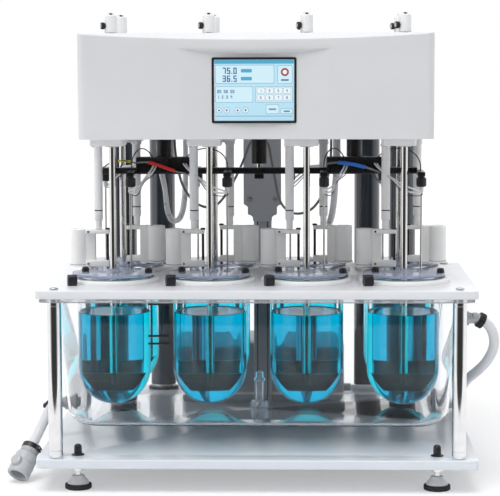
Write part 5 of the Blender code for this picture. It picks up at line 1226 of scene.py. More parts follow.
@dataclass
class Base:
    """Base plate with guide rods, dark foot collars, mast and levelling feet."""

    half_width: float = 0.31
    half_depth: float = 0.295
    low: float = 0.035
    high: float = 0.048
    corner: float = 0.008
    foot: Point = (0.254, 0.26, 0.0)
    rods: tuple[tuple[float, float], ...] = mm((-220, 90), (220, 90), (-169, 235), (169, 235))
    rod_radius: float = 0.0167
    rod_top: float = 0.47
    collar_radius: float = 0.025
    collar_top: float = 0.058

    def build(self) -> None:
        """Make the plate and the feet."""
        piece = Piece("base_plate_detail")
        studs = [circle(x, y, 0.0052, 24) for x in (-self.foot[0], self.foot[0])
                 for y in (-self.foot[1], self.foot[1])]
        outline = rectangle(-self.half_width, self.half_width, -self.half_depth, self.half_depth, self.corner)
        # The base plate's finish carries painted shade and a painted blue reflection.
        piece.add(pierced(outline, studs, self.low, self.high, 0.0012), Rack.base_white_painted_shade)
        for x, y in self.rods:
            piece.add(rod(self.rod_radius, self.high, self.rod_top, 0.002, ROUND), Rack.chrome, at(x, y))
            piece.add(self._collar(), Rack.satin_black, at(x, y))
            piece.ring(self._cap_screw(), 4, Rack.screw_steel, at(x, y))
        self._mast(piece)
        piece.ride(Body.STAND, Slot.WHITE, "base_plate")
        for number, (sx, sy) in enumerate(((-1, -1), (1, -1), (-1, 1), (1, 1)), 1):
            self._foot(self._foot_number(sx, sy, number), sx * self.foot[0], sy * self.foot[1])

    @staticmethod
    def _foot_number(sx: int, sy: int, fallback: int) -> int:
        """Number of the CAD foot that stands at a corner."""
        for number in range(1, 5):
            low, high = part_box(f"levelling_foot_{number}")
            if (low[0] + high[0]) * sx > 0 and (low[1] + high[1]) * sy > 0:
                return number
        return fallback

    def _collar(self) -> Shape:
        """Split clamp collar round the foot of a guide rod."""
        inner, outer, low, high = self.rod_radius - 0.0006, self.collar_radius, self.high - 0.0006, self.collar_top
        return lathe([(inner, low), (outer, low), (outer, high - 0.0018), (outer - 0.0018, high), (inner, high)],
                     ROUND, closed=True)

    def _cap_screw(self) -> Shape:
        """Socket screw head that clamps the collar, drawn at turn zero."""
        reach = (self.rod_radius + self.collar_radius) / 2
        screw = lathe(mm((0, -0.6), (1.7, -0.6), (1.7, 1.1), (1.3, 1.4), (0.9, 1.4), (0.7, 0.4), (0, 0.4),
                         above=self.collar_top), 12)
        bmesh.ops.translate(screw, vec=(reach, 0.0, 0.0), verts=screw.verts)
        return screw

    @staticmethod
    def _mast(piece: Piece) -> None:
        """Rectangular lifting mast, with two thin black strips on its front as painted shade of its slide grooves.
        """
        left, right, front, back, wall = -0.014, 0.014, 0.092, 0.128, 0.003
        outer = rectangle(left, right, front, back, 0.003, 4)
        inner = rectangle(left + wall, right - wall, front + wall, back - wall, 0.001, 2)
        piece.add(pierced(outer, [inner], 0.0475, 0.468, 0.0004), Rack.carriage_grey)
        # The slide grooves are not cut: each is a thin black strip of painted shade.
        for x in (left + 0.006, right - 0.006):
            piece.add(block((0.0016, 0.0008, 0.3), (x, front - 0.0002, 0.2), 0.0003), Rack.satin_black)

    def _foot(self, number: int, x: float, y: float) -> None:
        """One levelling foot.

        Args:
            number: number of its CAD node.
            x: its place along X.
            y: its place along Y.
        """
        piece = Piece(f"levelling_foot_{number}_detail")
        piece.turn(mm((0, 0), (17.5, 0), (18.6, 0.8), (19, 2), (19, 5.8), (18.4, 7), (17.2, 7.5), (0, 7.5)),
                   Rack.rubber)
        piece.turn(mm((0, 7.2), (15.5, 7.2), (15.3, 9.2), (13.8, 11.8), (10.8, 15), (9.2, 17.8), (9, 19), (0, 19)),
                   Rack.zinc)
        nut = prism(circle(0.0, 0.0, 0.0098, 6), 0.0262, 0.0348, 0.0006)
        piece.add(nut, Rack.chrome)
        piece.add(rod(0.004, 0.018, 0.05, 0.0003), Rack.chrome)
        piece.row(lathe(mm((3.7, -0.4), (4.3, 0), (3.7, 0.4)), FINE, closed=True), 5, (0.0, 0.0, 0.0014),
                  Rack.chrome, at(0.0, 0.0, 0.0199))
        piece.turn(mm((0, 48), (9, 48), (9, 49), (7.2, 49.8), (5.5, 50.2), (5.5, 59.2), (5, 61.6), (3.4, 63.4),
                      (0, 64.3)), Rack.black)
        bmesh.ops.translate(piece.bm, vec=(x, y, 0.0), verts=piece.bm.verts)
        piece.ride(Body.STAND, Slot.RUBBER, f"levelling_foot_{number}")


@dataclass
class VesselPlate:
    """Plate that holds the vessels, with its posts, seat rings and clamp blocks."""

    left: float = -0.308
    right: float = 0.308
    front: float = -0.295
    back: float = 0.065
    low: float = 0.2745
    high: float = 0.286
    hole: float = 0.058
    post_x: float = 0.283
    post_y: tuple[float, float] = (-0.278, 0.048)
    post_radius: float = 0.01
    post_low: float = 0.0483

    def build(self) -> None:
        """Make the plate as one piece."""
        piece = Piece("vessel_plate_detail")
        holes = [circle(s.x, s.y, self.hole, SMOOTH) for s in STATIONS]
        piece.add(pierced(rectangle(self.left, self.right, self.front, self.back, 0.006), holes,
                          self.low, self.high, 0.0009), Rack.plate_white)
        for x in (-self.post_x, self.post_x):
            for y in self.post_y:
                piece.add(self._post(), Rack.chrome, at(x, y))
                piece.turn(mm((0, -0.5), (6.2, -0.5), (6.2, 2.2), (5.6, 2.8), (3.2, 2.8), (3, 0.8), (0, 0.8),
                              above=self.high), Rack.screw_steel, at(x, y), sides=24)
        for s in STATIONS:
            piece.add(self._ring(), Rack.nylon, s.place)
            piece.add(self._clamp_block(), Rack.black, s.place)
        piece.ride(Body.STAND, Slot.WHITE, "vessel_plate")

    def _post(self) -> Shape:
        """One polished post with a turned groove near each end."""
        low, high, r = self.post_low - 0.0004, self.low + 0.0003, self.post_radius
        line = [(0.0, low), (r - 0.001, low), (r, low + 0.001), (r, low + 0.01), (r - 0.0006, low + 0.0104),
                (r - 0.0006, low + 0.0112), (r, low + 0.0116), (r, high - 0.0116), (r - 0.0006, high - 0.0112),
                (r - 0.0006, high - 0.0104), (r, high - 0.01), (r, high), (0.0, high)]
        return lathe(line, ROUND)

    def _ring(self) -> Shape:
        """Seat ring round one vessel, with a rounded outer edge and a stepped bore."""
        return lathe(mm((53.3, -10.2), (57.4, -10.2), (57.4, -0.4), (65.5, -0.4), (66, 0.2), (66, 2.4), (65.4, 4.4),
                        (64, 5.8), (61.8, 6), (60.5, 6), (60.2, 5.6), (53.3, 5.6), above=self.high), SMOOTH,
                     closed=True)

    def _clamp_block(self) -> Shape:
        """Black rounded clamp at the edge of one ring."""
        side = mm((-6.6, 285.8), (6.6, 285.8), (7, 294), (3.4, 301.4), (-3.6, 301.7), (-7, 298.5))
        shape = prism(eased(side, 0.003, 4, closed=True), -0.0066, 0.0066, 0.0016)
        bmesh.ops.transform(shape, matrix=at(-0.053, -0.058) @ Matrix.Rotation(math.radians(104.0), 4, "Z")
                            @ quarter("X"), verts=shape.verts)
        return shape


@dataclass
class Bath:
    """Clear water tank, its level lines, circulation jet, hose fittings and coupling."""

    half_width: float = 0.29
    front: float = -0.277
    back: float = 0.052
    top: float = 0.2742
    bottom: float = 0.084
    draft: float = 0.02
    corner: float = 0.047
    round_over: float = 0.027
    wall: float = 0.004

    def build(self) -> None:
        """Make the tank and what is fitted to it."""
        self._tank()
        self._jet()
        self._fitting("drain_fitting", (-0.2794, -0.12, 0.0975), Cords().drain, -1.0)
        self._fitting("filler_fitting", (0.29035, -0.227, 0.2395), Cords().filler, 1.0)

    def _shell_line(self, level: float, inset: float) -> Profile:
        """Outline of the tank wall at one level, drawn in by an inset."""
        lean = self.draft * (self.top - level) / (self.top - self.bottom)
        cut = inset + lean
        return rectangle(-self.half_width + cut, self.half_width - cut, self.front + cut, self.back - cut,
                         max(0.006, self.corner - cut * 0.5), 9)

    def _tank(self) -> None:
        """Tank as one closed shell, outside and inside."""
        bm = bmesh.new()
        steps = 8
        loops: list[Profile] = []
        heights: list[float] = []
        for k in range(steps + 1):
            a = 0.5 * math.pi * k / steps
            heights.append(self.bottom + self.round_over * (1 - math.cos(a)))
            loops.append(self._shell_line(heights[-1], self.round_over * (1 - math.sin(a))))
        for level in (0.15, 0.215, self.top - 0.0005):
            heights.append(level)
            loops.append(self._shell_line(level, 0.0))
        inner_floor = self.bottom + self.wall
        inner: list[tuple[float, Profile]] = [(self.top - 0.0005, self._shell_line(self.top, self.wall))]
        for level in (0.215, 0.15):
            inner.append((level, self._shell_line(level, self.wall)))
        reach = self.round_over - self.wall
        for k in range(steps, -1, -1):
            a = 0.5 * math.pi * k / steps
            level = inner_floor + reach * (1 - math.cos(a))
            inner.append((level, self._shell_line(level, self.wall + reach * (1 - math.sin(a)))))
        rings = []
        for level, loop in list(zip(heights, loops)) + inner:
            rings.append([bm.verts.new((x, y, level)) for x, y in loop])
        for a, b in zip(rings, rings[1:]):
            for i in range(len(a)):
                j = (i + 1) % len(a)
                bm.faces.new((a[i], a[j], b[j], b[i]))
        bm.faces.new(rings[0])
        bm.faces.new(rings[-1])
        piece = Piece("water_tank_detail")
        piece.add(bm, Rack.tank)
        flange_out = rectangle(-0.304, 0.304, -0.291, 0.061, 0.012)
        flange_in = self._shell_line(self.top, -0.0004)
        piece.add(pierced(flange_out, [flange_in], 0.2687, 0.2741, 0.0006), Rack.tank_rim)
        for level in (0.2655, 0.22, 0.209):
            lean = self.draft * (self.top - level) / (self.top - self.bottom)
            piece.add(block((0.03, 0.0007, 0.0028), (-0.137, self.front + lean - 0.0005, level), 0.0002),
                      Rack.line_ink)
        piece.ride(Body.STAND, Slot.CLEAR, "water_tank")

    @staticmethod
    def _jet() -> None:
        """Circulation jet on the tank floor."""
        piece = Piece("circulation_jet_detail")
        piece.turn(mm((0, 87.8), (11.8, 87.8), (13, 89), (13, 99), (12.2, 100.8), (6.4, 101), (6, 101.4), (6, 129),
                      (8.5, 129.4), (8.5, 134), (6, 134.4), (6, 143), (5.2, 144), (0, 144)), Rack.knob_clear,
                   at(0.0, -0.115), sides=32)
        piece.ring(block((0.0012, 0.0022, 0.0085), (0.01315, 0.0, 0.0943), 0.0003), 12, Rack.knob_clear,
                   at(0.0, -0.115))
        piece.ride(Body.STAND, Slot.CLEAR, "circulation_jet")

    @staticmethod
    def _fitting(name: str, face: Point, route: Sequence[Point], side: float) -> None:
        """Elbow that joins a hose to the tank wall, with its clamp.

        Args:
            name: CAD node that it stands for.
            face: middle of its face on the tank wall.
            route: route of the hose that it holds.
            side: which way it points along X.
        """
        mouth, beyond = Vector(route[0]), Vector(route[1])
        along = (beyond - mouth).normalized()
        wall = Vector(face)
        knee = wall + Vector((side * 0.0175, 0.0, 0.0))
        piece = Piece(f"{name}_detail")
        outward = turned_to((side, 0.0, 0.0))
        piece.add(rod(0.008, -0.006, 0.013, 0.0006, 32), Rack.coupling, Matrix.Translation(wall) @ outward)
        piece.turn(mm((0, 0), (11.8, 0), (12, 0.3), (12, 3.6), (11.4, 4.4), (0, 4.4)), Rack.coupling,
                   Matrix.Translation(wall) @ outward, sides=32)
        piece.add(prism(circle(0.0, 0.0, 0.0112, 6), 0.0044, 0.0092, 0.0005), Rack.coupling,
                  Matrix.Translation(wall) @ outward)
        bend = smooth_route([tuple(wall + Vector((side * 0.009, 0.0, 0.0))), tuple(knee),
                             tuple(mouth - along * 0.004), tuple(mouth + along * 0.005)], 0.0015)
        piece.add(sweep(bend, 0.0066, 24), Rack.coupling)
        clamp = Matrix.Translation(mouth + along * 0.0062) @ turned_to(along)
        inner, outer, half = 0.0073, 0.0104, 0.0045
        piece.turn([(inner, -half), (outer, -half), (outer + 0.0003, -half + 0.0006),
                    (outer + 0.0003, half - 0.0006), (outer, half), (inner, half)], Rack.black, clamp, sides=40,
                   closed=True)
        piece.ring(block((0.0007, 0.001, 0.0078), (0.01075, 0.0, 0.0), 0.0002), 26, Rack.black, clamp)
        for turn in (0.0, math.pi):
            ear = block((0.0055, 0.0062, 0.008), (0.0115, 0.0, 0.0), 0.001)
            piece.add(ear, Rack.black, clamp @ Matrix.Rotation(turn, 4, "Z"))
        piece.ride(Body.STAND, Slot.COUPLING, name)


@dataclass
class Coupling:
    """Quick coupling on the end of the drain hose, with its latch."""

    end: Point = (-0.3302, -0.1977, 0.0442)
    ahead: Point = (-0.3192, -0.6418, -0.6973)
    up: Point = (-0.311, -0.624, 0.717)

    def build(self) -> tuple[Object, Object]:
        """Make the coupling and its latch.

        Returns:
            Both pieces, for the cord that they are on.
        """
        place = Matrix.Translation(self.end) @ turned_to(self.ahead)
        piece = Piece("quick_coupling_detail")
        piece.turn(mm((7.8, -2), (12.5, -2), (12.5, 10.5), (11.8, 11.8), (11.8, 12.8), (7.8, 12.8)), Rack.coupling,
                   place, sides=SMOOTH, closed=True)
        piece.ring(block((0.0012, 0.0018, 0.0096), (0.0126, 0.0, 0.005), 0.0003), 22, Rack.coupling, place)
        piece.turn(mm((8, -4), (13, -4), (13.6, -3.4), (13.6, 3.4), (13, 4), (8, 4)), Rack.black, place,
                   sides=SMOOTH, closed=True)
        piece.add(block((0.005, 0.011, 0.0076), (0.0135, 0.0, 0.0), 0.001), Rack.black, place)
        piece.row(rod(0.0016, -0.003, 0.0004, 0.0003, 12), 2, (0.0, 0.006, 0.0), Rack.screw_steel,
                  place @ at(0.016, -0.003) @ quarter("Y"))
        piece.turn(mm((0, 12.6), (13.5, 12.6), (15.8, 13.8), (16.5, 15.4), (16.5, 26.2), (16.1, 26.8), (16.1, 28),
                      (16.5, 28.6), (16.5, 42), (16.1, 42.6), (16.1, 43.6), (16.5, 44.2), (16.5, 46), (15.6, 47.2),
                      (14.6, 48), (13, 48), (11.6, 46.6), (11.2, 45), (11.2, 22.6), (10.4, 22), (0, 22)),
                   Rack.coupling, place, sides=SMOOTH)
        piece.turn(mm((9.4, 30), (11.3, 30), (11.3, 33), (9.4, 33)), Rack.black, place, sides=40, closed=True)
        coupling = piece.ride(Body.STAND, Slot.COUPLING, "quick_coupling")
        button = Piece("coupling_latch_detail")
        middle = Vector(self.end) + Vector(self.ahead).normalized() * 0.033
        seat = Matrix.Translation(middle) @ turned_to(self.up)
        button.turn(mm((0, 12.8), (7.8, 12.8), (7.8, 20.5), (7.3, 21.3), (6.4, 21.7), (0, 21.9)), Rack.coupling,
                    seat, sides=40)
        button.row(block((0.0084, 0.0008, 0.0006), (0.0, 0.0, 0.0218), 0.0002), 5, (0.0, 0.0022, 0.0),
                   Rack.coupling, seat @ at(0.0, -0.0044))
        latch = button.ride(Body.LATCH, Slot.COUPLING, "coupling_latch")
        return coupling, latch


# ---------------------------------------------------------------- vessels and lids


@dataclass
class Vessels:
    """Glass vessels, each with its blue medium."""

    radius: float = 0.053
    wall: float = 0.002
    lip_radius: float = 0.06
    lip_low: float = 0.2923
    lip_high: float = 0.2953
    bottom: float = 0.1065
    centre: float = 0.1595
    level: float = 0.2415
    overlap: float = 0.0003

    def build(self) -> None:
        """Make a vessel and its medium at every station."""
        for s in STATIONS:
            glass = Piece(f"vessel_{s.number}_glass")
            glass.add(self._glass(), Rack.glass, s.upright)
            glass.ride(Body.STAND, Slot.GLASS, f"vessel_{s.number}", sharp=math.radians(60.0))
            medium = Piece(f"medium_{s.number}")
            medium.add(self._medium(), Rack.medium, s.upright)
            medium.ride(Body.STAND, Slot.CLEAR, sharp=math.radians(60.0))

    def _bowl(self, radius: float, steps: int = 16) -> Profile:
        """Half round bottom from its lowest point up to the straight wall."""
        return [(radius * math.sin(0.5 * math.pi * k / steps),
                 self.centre - radius * math.cos(0.5 * math.pi * k / steps)) for k in range(steps + 1)]

    def _glass(self) -> Shape:
        """Closed wall of one vessel, with a fire-polished lip."""
        inner = self.radius - self.wall
        middle = (self.lip_low + self.lip_high) / 2
        line = self._bowl(self.radius)
        line += [(self.radius, self.lip_low - 0.0022), (self.radius + 0.0006, self.lip_low - 0.0006),
                 (self.radius + 0.0022, self.lip_low), (self.lip_radius - 0.001, self.lip_low),
                 (self.lip_radius - 0.0003, self.lip_low + 0.0005), (self.lip_radius, middle),
                 (self.lip_radius - 0.0003, self.lip_high - 0.0005), (self.lip_radius - 0.001, self.lip_high),
                 (inner + 0.0022, self.lip_high), (inner + 0.0007, self.lip_high - 0.0006),
                 (inner, self.lip_high - 0.0022)]
        line += list(reversed(self._bowl(inner)))
        return lathe(line, SMOOTH)

    def _medium(self) -> Shape:
        """Liquid that wets the wall, with a meniscus round its edge."""
        reach = self.radius - self.wall + self.overlap
        line = self._bowl(reach)
        line += [(reach, self.level + 0.0012), (reach - 0.0006, self.level + 0.0008),
                 (reach - 0.002, self.level + 0.0001), (reach - 0.0045, self.level), (0.0, self.level)]
        return lathe(line, SMOOTH)


@dataclass
class Lids:
    """Translucent vessel lids with ports, knobs and the tablet dispensers on them."""

    radius: float = 0.0595
    low: float = 0.2956
    high: float = 0.2991
    shaft: float = 0.0085
    port: tuple[float, float] = (0.025, 0.01)
    drum: tuple[float, float] = (-0.055, 0.05)

    def build(self) -> None:
        """Make the lid of every station."""
        for s in STATIONS:
            piece = Piece(f"dosing_lid_{s.number}_detail")
            self._disc(piece)
            self._dispenser(piece)
            bmesh.ops.transform(piece.bm, matrix=s.place, verts=piece.bm.verts)
            piece.ride(Body.HEAD, Slot.LID, f"dosing_lid_{s.number}")

    def _disc(self, piece: Piece) -> None:
        """The lid itself, its collar, ports and knobs."""
        rim = circle(0.0, 0.0, self.radius, SMOOTH)
        holes = [circle(0.0, 0.0, self.shaft, 32), circle(*self.port, 0.0032, 20), circle(-0.012, 0.04, 0.0026, 16)]
        piece.add(pierced(rim, holes, self.low, self.high, 0.0005), Rack.lid)
        piece.turn([(self.shaft, self.high - 0.0003), (0.0115, self.high - 0.0003), (0.0115, 0.3022),
                    (0.0106, 0.3031), (self.shaft + 0.0006, 0.3031), (self.shaft, 0.3026)], Rack.knob_clear,
                   closed=True)
        piece.turn(mm((3.4, -0.3), (5.2, -0.3), (5, 1.6), (3.6, 1.8), above=self.high), Rack.knob_clear,
                   at(*self.port), sides=24, closed=True)
        for x, y in ((-0.041, 0.004), (0.052, -0.012)):
            piece.turn(mm((0, -0.2), (5, -0.2), (5, 4.6), (4.5, 6.2), (3.4, 6.8), (0, 6.8), above=self.high),
                       Rack.black, at(x, y), sides=24)
            piece.ring(block((0.001, 0.001, 0.0044), (0.0049, 0.0, self.high + 0.0024), 0.0003), 10, Rack.black,
                       at(x, y))
        piece.turn([(0.0, self.high - 0.0002), (0.0065, self.high - 0.0002), (0.0065, 0.3012), (0.0058, 0.302),
                    (0.0, 0.302)], Rack.knob_clear, at(-0.025, 0.03675), sides=24)

    def _dispenser(self, piece: Piece) -> None:
        """White dispenser drum on its bracket, with a dark push rod."""
        low, high = 0.3021, 0.3571
        x, y = self.drum
        piece.turn([(0.0, low), (0.0138, low), (0.0142, low + 0.0004), (0.0142, low + 0.0016),
                    (0.0138, low + 0.002), (0.0128, low + 0.0022), (0.0128, high - 0.0008), (0.0122, high),
                    (0.0098, high), (0.0094, high - 0.001), (0.005, high - 0.001), (0.0046, high - 0.0002),
                    (0.002, high - 0.0002), (0.0, high - 0.0002)], Rack.nylon_warm, at(x, y))
        piece.turn(mm((12.6, 304.2), (12.95, 304.3), (12.95, 305), (12.6, 305.1)), Rack.seam, at(x, y), closed=True)
        near = y - 0.0165
        for size, middle in (((0.0155, 0.011, 0.0547), (-0.03825, 0.048, 0.32945)),
                             ((0.0345, 0.013, 0.0059), (-0.02675, 0.04, 0.35385)),
                             ((0.0345, 0.013, 0.0095), (-0.02675, 0.04, 0.30685))):
            piece.add(block(size, middle, 0.0012), Rack.nylon_warm)
        piece.add(rod(0.0019, 0.2962, 0.356, 0.0004, 16), Rack.satin_black, at(-0.012, 0.04))
        piece.add(rod(0.0036, 0.3562, 0.3592, 0.0008, 20), Rack.black, at(-0.012, 0.04))
        for z in (0.307, 0.354):
            piece.add(rod(0.0018, -0.0004, 0.0012, 0.0003, 14), Rack.screw_steel,
                      at(-0.04, near, z) @ quarter("X"))


# ---------------------------------------------------------------- head


@dataclass
class Head:
    """Drive head: cover with its scooped brow, rear cover, screen, blocks, probe tubes and sleeves."""

    half_width: float = 0.245
    front: float = -0.295
    split: float = 0.19
    back: float = 0.265
    low: float = 0.496
    high: float = 0.6415
    corner: float = 0.01
    shell: float = 0.003
    chuck_hole: float = 0.01

    @staticmethod
    def _share(x: float, half: float) -> float:
        """How much of a shallow arch is left at a place across the head."""
        return max(0.0, 1.0 - (x / half) ** 2)

    def _section(self, x: float) -> Profile:
        """Side line of the cover at one place across the head, from its front foot over its top."""
        side = abs(x)
        edge = max(0.0, side - (self.half_width - self.corner))
        setback = self.corner - math.sqrt(max(0.0, self.corner ** 2 - edge ** 2))
        face = self.front + setback
        depth = 0.008 * self._share(x, 0.105)
        brow = 0.0012 + (0.0085 - 0.0012) * self._share(x, 0.245)
        slope = 0.0012 + (0.016 - 0.0012) * self._share(x, 0.245)
        ledge = self.high - 0.0207
        dip = 0.0004 + 0.0083 * self._share(x, 0.105)
        line: Profile = [(face + depth, self.low), (face + depth, ledge - dip)]
        for k in range(1, 6):
            t = k / 6
            line.append((face + depth * (1 - t) ** 2, ledge - dip * (1 - t)))
        line.append((face, ledge))
        crease = Vector((face, self.high - brow))
        under, over = Vector((0.0, -min(0.0012, 0.4 * brow))), Vector((slope, brow)) * 0.16
        for k in range(6):
            t = k / 5
            spot = (crease + under) * (1 - t) ** 2 + crease * 2 * t * (1 - t) + (crease + over) * t ** 2
            line.append((spot.x, spot.y))
        line.append((face + slope, self.high))
        return line

    def build(self) -> None:
        """Make every piece of the head."""
        self._cover()
        self._rear_cover()
        self._frame()
        Screen().build()

    def _cover(self) -> None:
        """Front cover as one closed shell: brow, top with the chuck holes, sides and inner skin."""
        stops = sorted({round(s * v, 5) for s in (-1, 1) for v in
                        [0.0, 0.245, 0.2449, 0.2445, 0.2435, 0.242, 0.24, 0.2375, 0.235]
                        + [0.0105 * k for k in range(1, 23)] if v <= 0.2452})
        bm = bmesh.new()
        rows = []
        for x in stops:
            rows.append([bm.verts.new((x, y, z)) for y, z in self._section(x)])
        for a, b in zip(rows, rows[1:]):
            for i in range(len(a) - 1):
                bm.faces.new((a[i], b[i], b[i + 1], a[i + 1]))
        front_top = [row[-1] for row in rows]
        holes = []
        for s in STATIONS:
            holes.append([bm.verts.new((x, y, self.high)) for x, y in circle(s.x, s.y, self.chuck_hole, 48)])
        left, right = -self.half_width, self.half_width
        back_top = [bm.verts.new((x, self.split, self.high)) for x in (right, left)]
        edges = []
        outer = front_top + back_top
        for loop in [outer] + holes:
            for i, vert in enumerate(loop):
                mate = loop[(i + 1) % len(loop)]
                edges.append(bm.edges.get((vert, mate)) or bm.edges.new((vert, mate)))
        bmesh.ops.triangle_fill(bm, use_beauty=True, use_dissolve=False, edges=edges)
        for row, top in ((rows[0], back_top[1]), (rows[-1], back_top[0])):
            foot = bm.verts.new((row[0].co.x, self.split, self.low))
            bm.faces.new(row + [top, foot])
        bm.faces.ensure_lookup_table()
        bmesh.ops.recalc_face_normals(bm, faces=bm.faces)
        top_normal = sum((f.normal.z * f.calc_area() for f in bm.faces
                          if f.calc_center_median().z > self.high - 0.0001), 0.0)
        if top_normal < 0:
            bmesh.ops.reverse_faces(bm, faces=bm.faces)
        mesh = bpy.data.meshes.new("cover_skin")
        bm.to_mesh(mesh)
        bm.free()
        obj = bpy.data.objects.new("cover_skin", mesh)
        thick = obj.modifiers.new("wall", "SOLIDIFY")
        thick.thickness = self.shell
        thick.offset = -1.0
        thick.use_even_offset = False
        thick.use_rim = True
        piece = Piece("head_cover_detail")
        piece.add(as_bmesh(mesh_of(obj)), Rack.head_white)
        for s in STATIONS:
            piece.turn(mm((9.2, -3.8), (10, -3.8), (10, -0.2), (12.2, -0.2), (12.4, 0.4), (11.8, 1), (9.8, 1),
                          (9.2, 0.4), above=self.high), Rack.carriage_grey, s.upright, closed=True)
        piece.ride(Body.HEAD, Slot.HEAD, "head_cover", sharp=math.radians(24.0))

    def _rear_cover(self) -> None:
        """Rear cover, with its vent slots drawn as black blocks of painted shade inside white frames, and its
        screws.
        """
        outer = [(-self.half_width, self.split + 0.0003), (self.half_width, self.split + 0.0003)]
        radius = 0.012
        for side in (1, -1):
            for k in range(8):
                a = 0.5 * math.pi * (k / 7 + (side < 0))
                outer.append((side * (self.half_width - radius) + radius * math.cos(a),
                              self.back - radius + radius * math.sin(a)))
        piece = Piece("head_rear_cover_detail")
        piece.add(prism(outer, self.low, self.high, 0.0012), Rack.head_white)
        middle = (self.low + self.high) / 2
        for cx in (-0.1225, 0.1225):
            frame = block((0.008, 0.0014, 0.062), (0.0, self.back - 0.0002, middle), 0.0004)
            piece.row(frame, 5, (0.016, 0.0, 0.0), Rack.head_white, at(cx - 0.032, 0.0))
            # The slots are not cut: each opening is a black block of painted shade.
            vent_shade = block((0.0058, 0.0012, 0.0598), (0.0, self.back + 0.0002, middle), 0.0004)
            piece.row(vent_shade, 5, (0.016, 0.0, 0.0), Rack.satin_black, at(cx - 0.032, 0.0))
        for x in (-0.225, 0.0, 0.225):
            for z in (self.low + 0.014, self.high - 0.014):
                piece.screw(at(x, self.back - 0.0002, z) @ quarter("X", -1), 0.0036)
        piece.ride(Body.HEAD, Slot.HEAD, "head_rear_cover")

    def _frame(self) -> None:
        """Floor of the head with what hangs from it."""
        piece = Piece("head_frame_detail")
        floor = rectangle(-self.half_width + 0.0042, self.half_width - 0.0042, self.front + 0.0125,
                          self.back - 0.0042, 0.004)
        piece.add(pierced(floor, [circle(s.x, s.y, 0.009, 32) for s in STATIONS], self.low + 0.0002, 0.502, 0.0005),
                  Rack.head_white)
        for s in STATIONS:
            self._station_block(piece, s)
        for x in (-0.14, 0.14):
            piece.add(self._socket(0.4626), Rack.satin_black, at(x, -0.105))
        piece.add(self._socket(0.452), Rack.satin_black, at(0.0, -0.105))
        for x, y in Base().rods:
            piece.add(self._sleeve(), Rack.slate, at(x, y))
        self._carriage(piece)
        piece.ride(Body.HEAD, Slot.SLATE, "head_frame")

    @staticmethod
    def _station_block(piece: Piece, s: Station) -> None:
        """White block under one station, with its probe tube."""
        outline = rectangle(-0.032, 0.017, -0.013, 0.048, 0.005, 4)
        piece.add(pierced(outline, [circle(0.0, 0.0, 0.0075, 32)], 0.4813, 0.4962, 0.001), Rack.nylon, s.place)
        piece.turn(mm((6, 480), (9.8, 480), (10.4, 480.6), (10.4, 481.6), (6, 481.6)), Rack.carriage_grey, s.place,
                   sides=32, closed=True)
        piece.turn(mm((0, 357.4), (3.6, 357.4), (4.7, 358.2), (4.7, 369.6), (5.6, 370.8), (6.3, 372), (6.3, 383.8),
                      (5.9, 384.2), (5.9, 385.8), (6.3, 386.2), (6.3, 456), (6, 456.6), (6, 457.8), (6.3, 458.4),
                      (6.3, 478), (7.8, 479), (7.8, 481.6), (0, 481.6)), Rack.nylon, s.place @ at(-0.025, 0.04),
                   sides=32)
        piece.turn(mm((5.8, 384.1), (6.05, 384.3), (6.05, 385.7), (5.8, 385.9)), Rack.seam,
                   s.place @ at(-0.025, 0.04), sides=32, closed=True)
        for x, y in ((-0.027, -0.008), (0.012, 0.043)):
            piece.screw(s.place @ at(x, y, 0.4815) @ quarter("X", 2), 0.0024)

    @staticmethod
    def _socket(low: float) -> Shape:
        """Guide socket for one rod of the manifold."""
        return lathe([(0.0054, low), (0.0108, low), (0.0115, low + 0.0007), (0.0115, 0.4966), (0.0054, 0.4966)],
                     ROUND, closed=True)

    @staticmethod
    def _sleeve() -> Shape:
        """Glossy column sleeve round a guide rod."""
        return lathe(mm((17.4, 62.8), (18, 62.2), (19.8, 62.2), (20.7, 62.6), (21, 63.6), (21, 150), (21, 300),
                        (21, 489.5), (20.6, 489.9), (20.6, 490.7), (21, 491.1), (21, 496.5), (17.4, 496.5)),
                     64, closed=True)

    @staticmethod
    def _carriage(piece: Piece) -> None:
        """Grey carriage plate, its screws, the lifting ram and its head bracket."""
        outline = eased(mm((-29.5, 496.3), (-29.5, 375), (-23, 375), (-23, 359), (-15, 359), (-15, 349), (15, 349),
                           (15, 359), (23, 359), (23, 375), (29.5, 375), (29.5, 496.3)), 0.0035, 4, closed=True)
        plate = prism(outline, -0.004, 0.004, 0.0009)
        bmesh.ops.transform(plate, matrix=at(0.0, 0.0877) @ quarter("X"), verts=plate.verts)
        piece.add(plate, Rack.carriage_grey)
        for x in (-0.02, 0.02):
            piece.screw(at(x, 0.0838, 0.385) @ quarter("X"), 0.0045, 0.0024)
        piece.add(rod(0.007, 0.1962, 0.4964, 0.001, 32), Rack.chrome, at(0.0, 0.11))


def screw_head(radius: float, height: float = 0.0016) -> Shape:
    """Pan head screw with a hexagon socket, standing on the plane z = 0.

    Args:
        radius: radius of the head.
        height: how far it stands out.

    Returns:
        The closed shape.
    """
    bm = lathe([(0.0, -0.0004), (radius, -0.0004), (radius, height * 0.45), (radius * 0.86, height * 0.85),
                (radius * 0.6, height), (0.0, height)], 24)
    socket = prism(circle(0.0, 0.0, radius * 0.42, 6), height * 0.45, height * 1.02, 0.0)
    mesh = bpy.data.meshes.new("socket")
    socket.to_mesh(mesh)
    socket.free()
    bm.from_mesh(mesh)
    bpy.data.meshes.remove(mesh)
    return bm


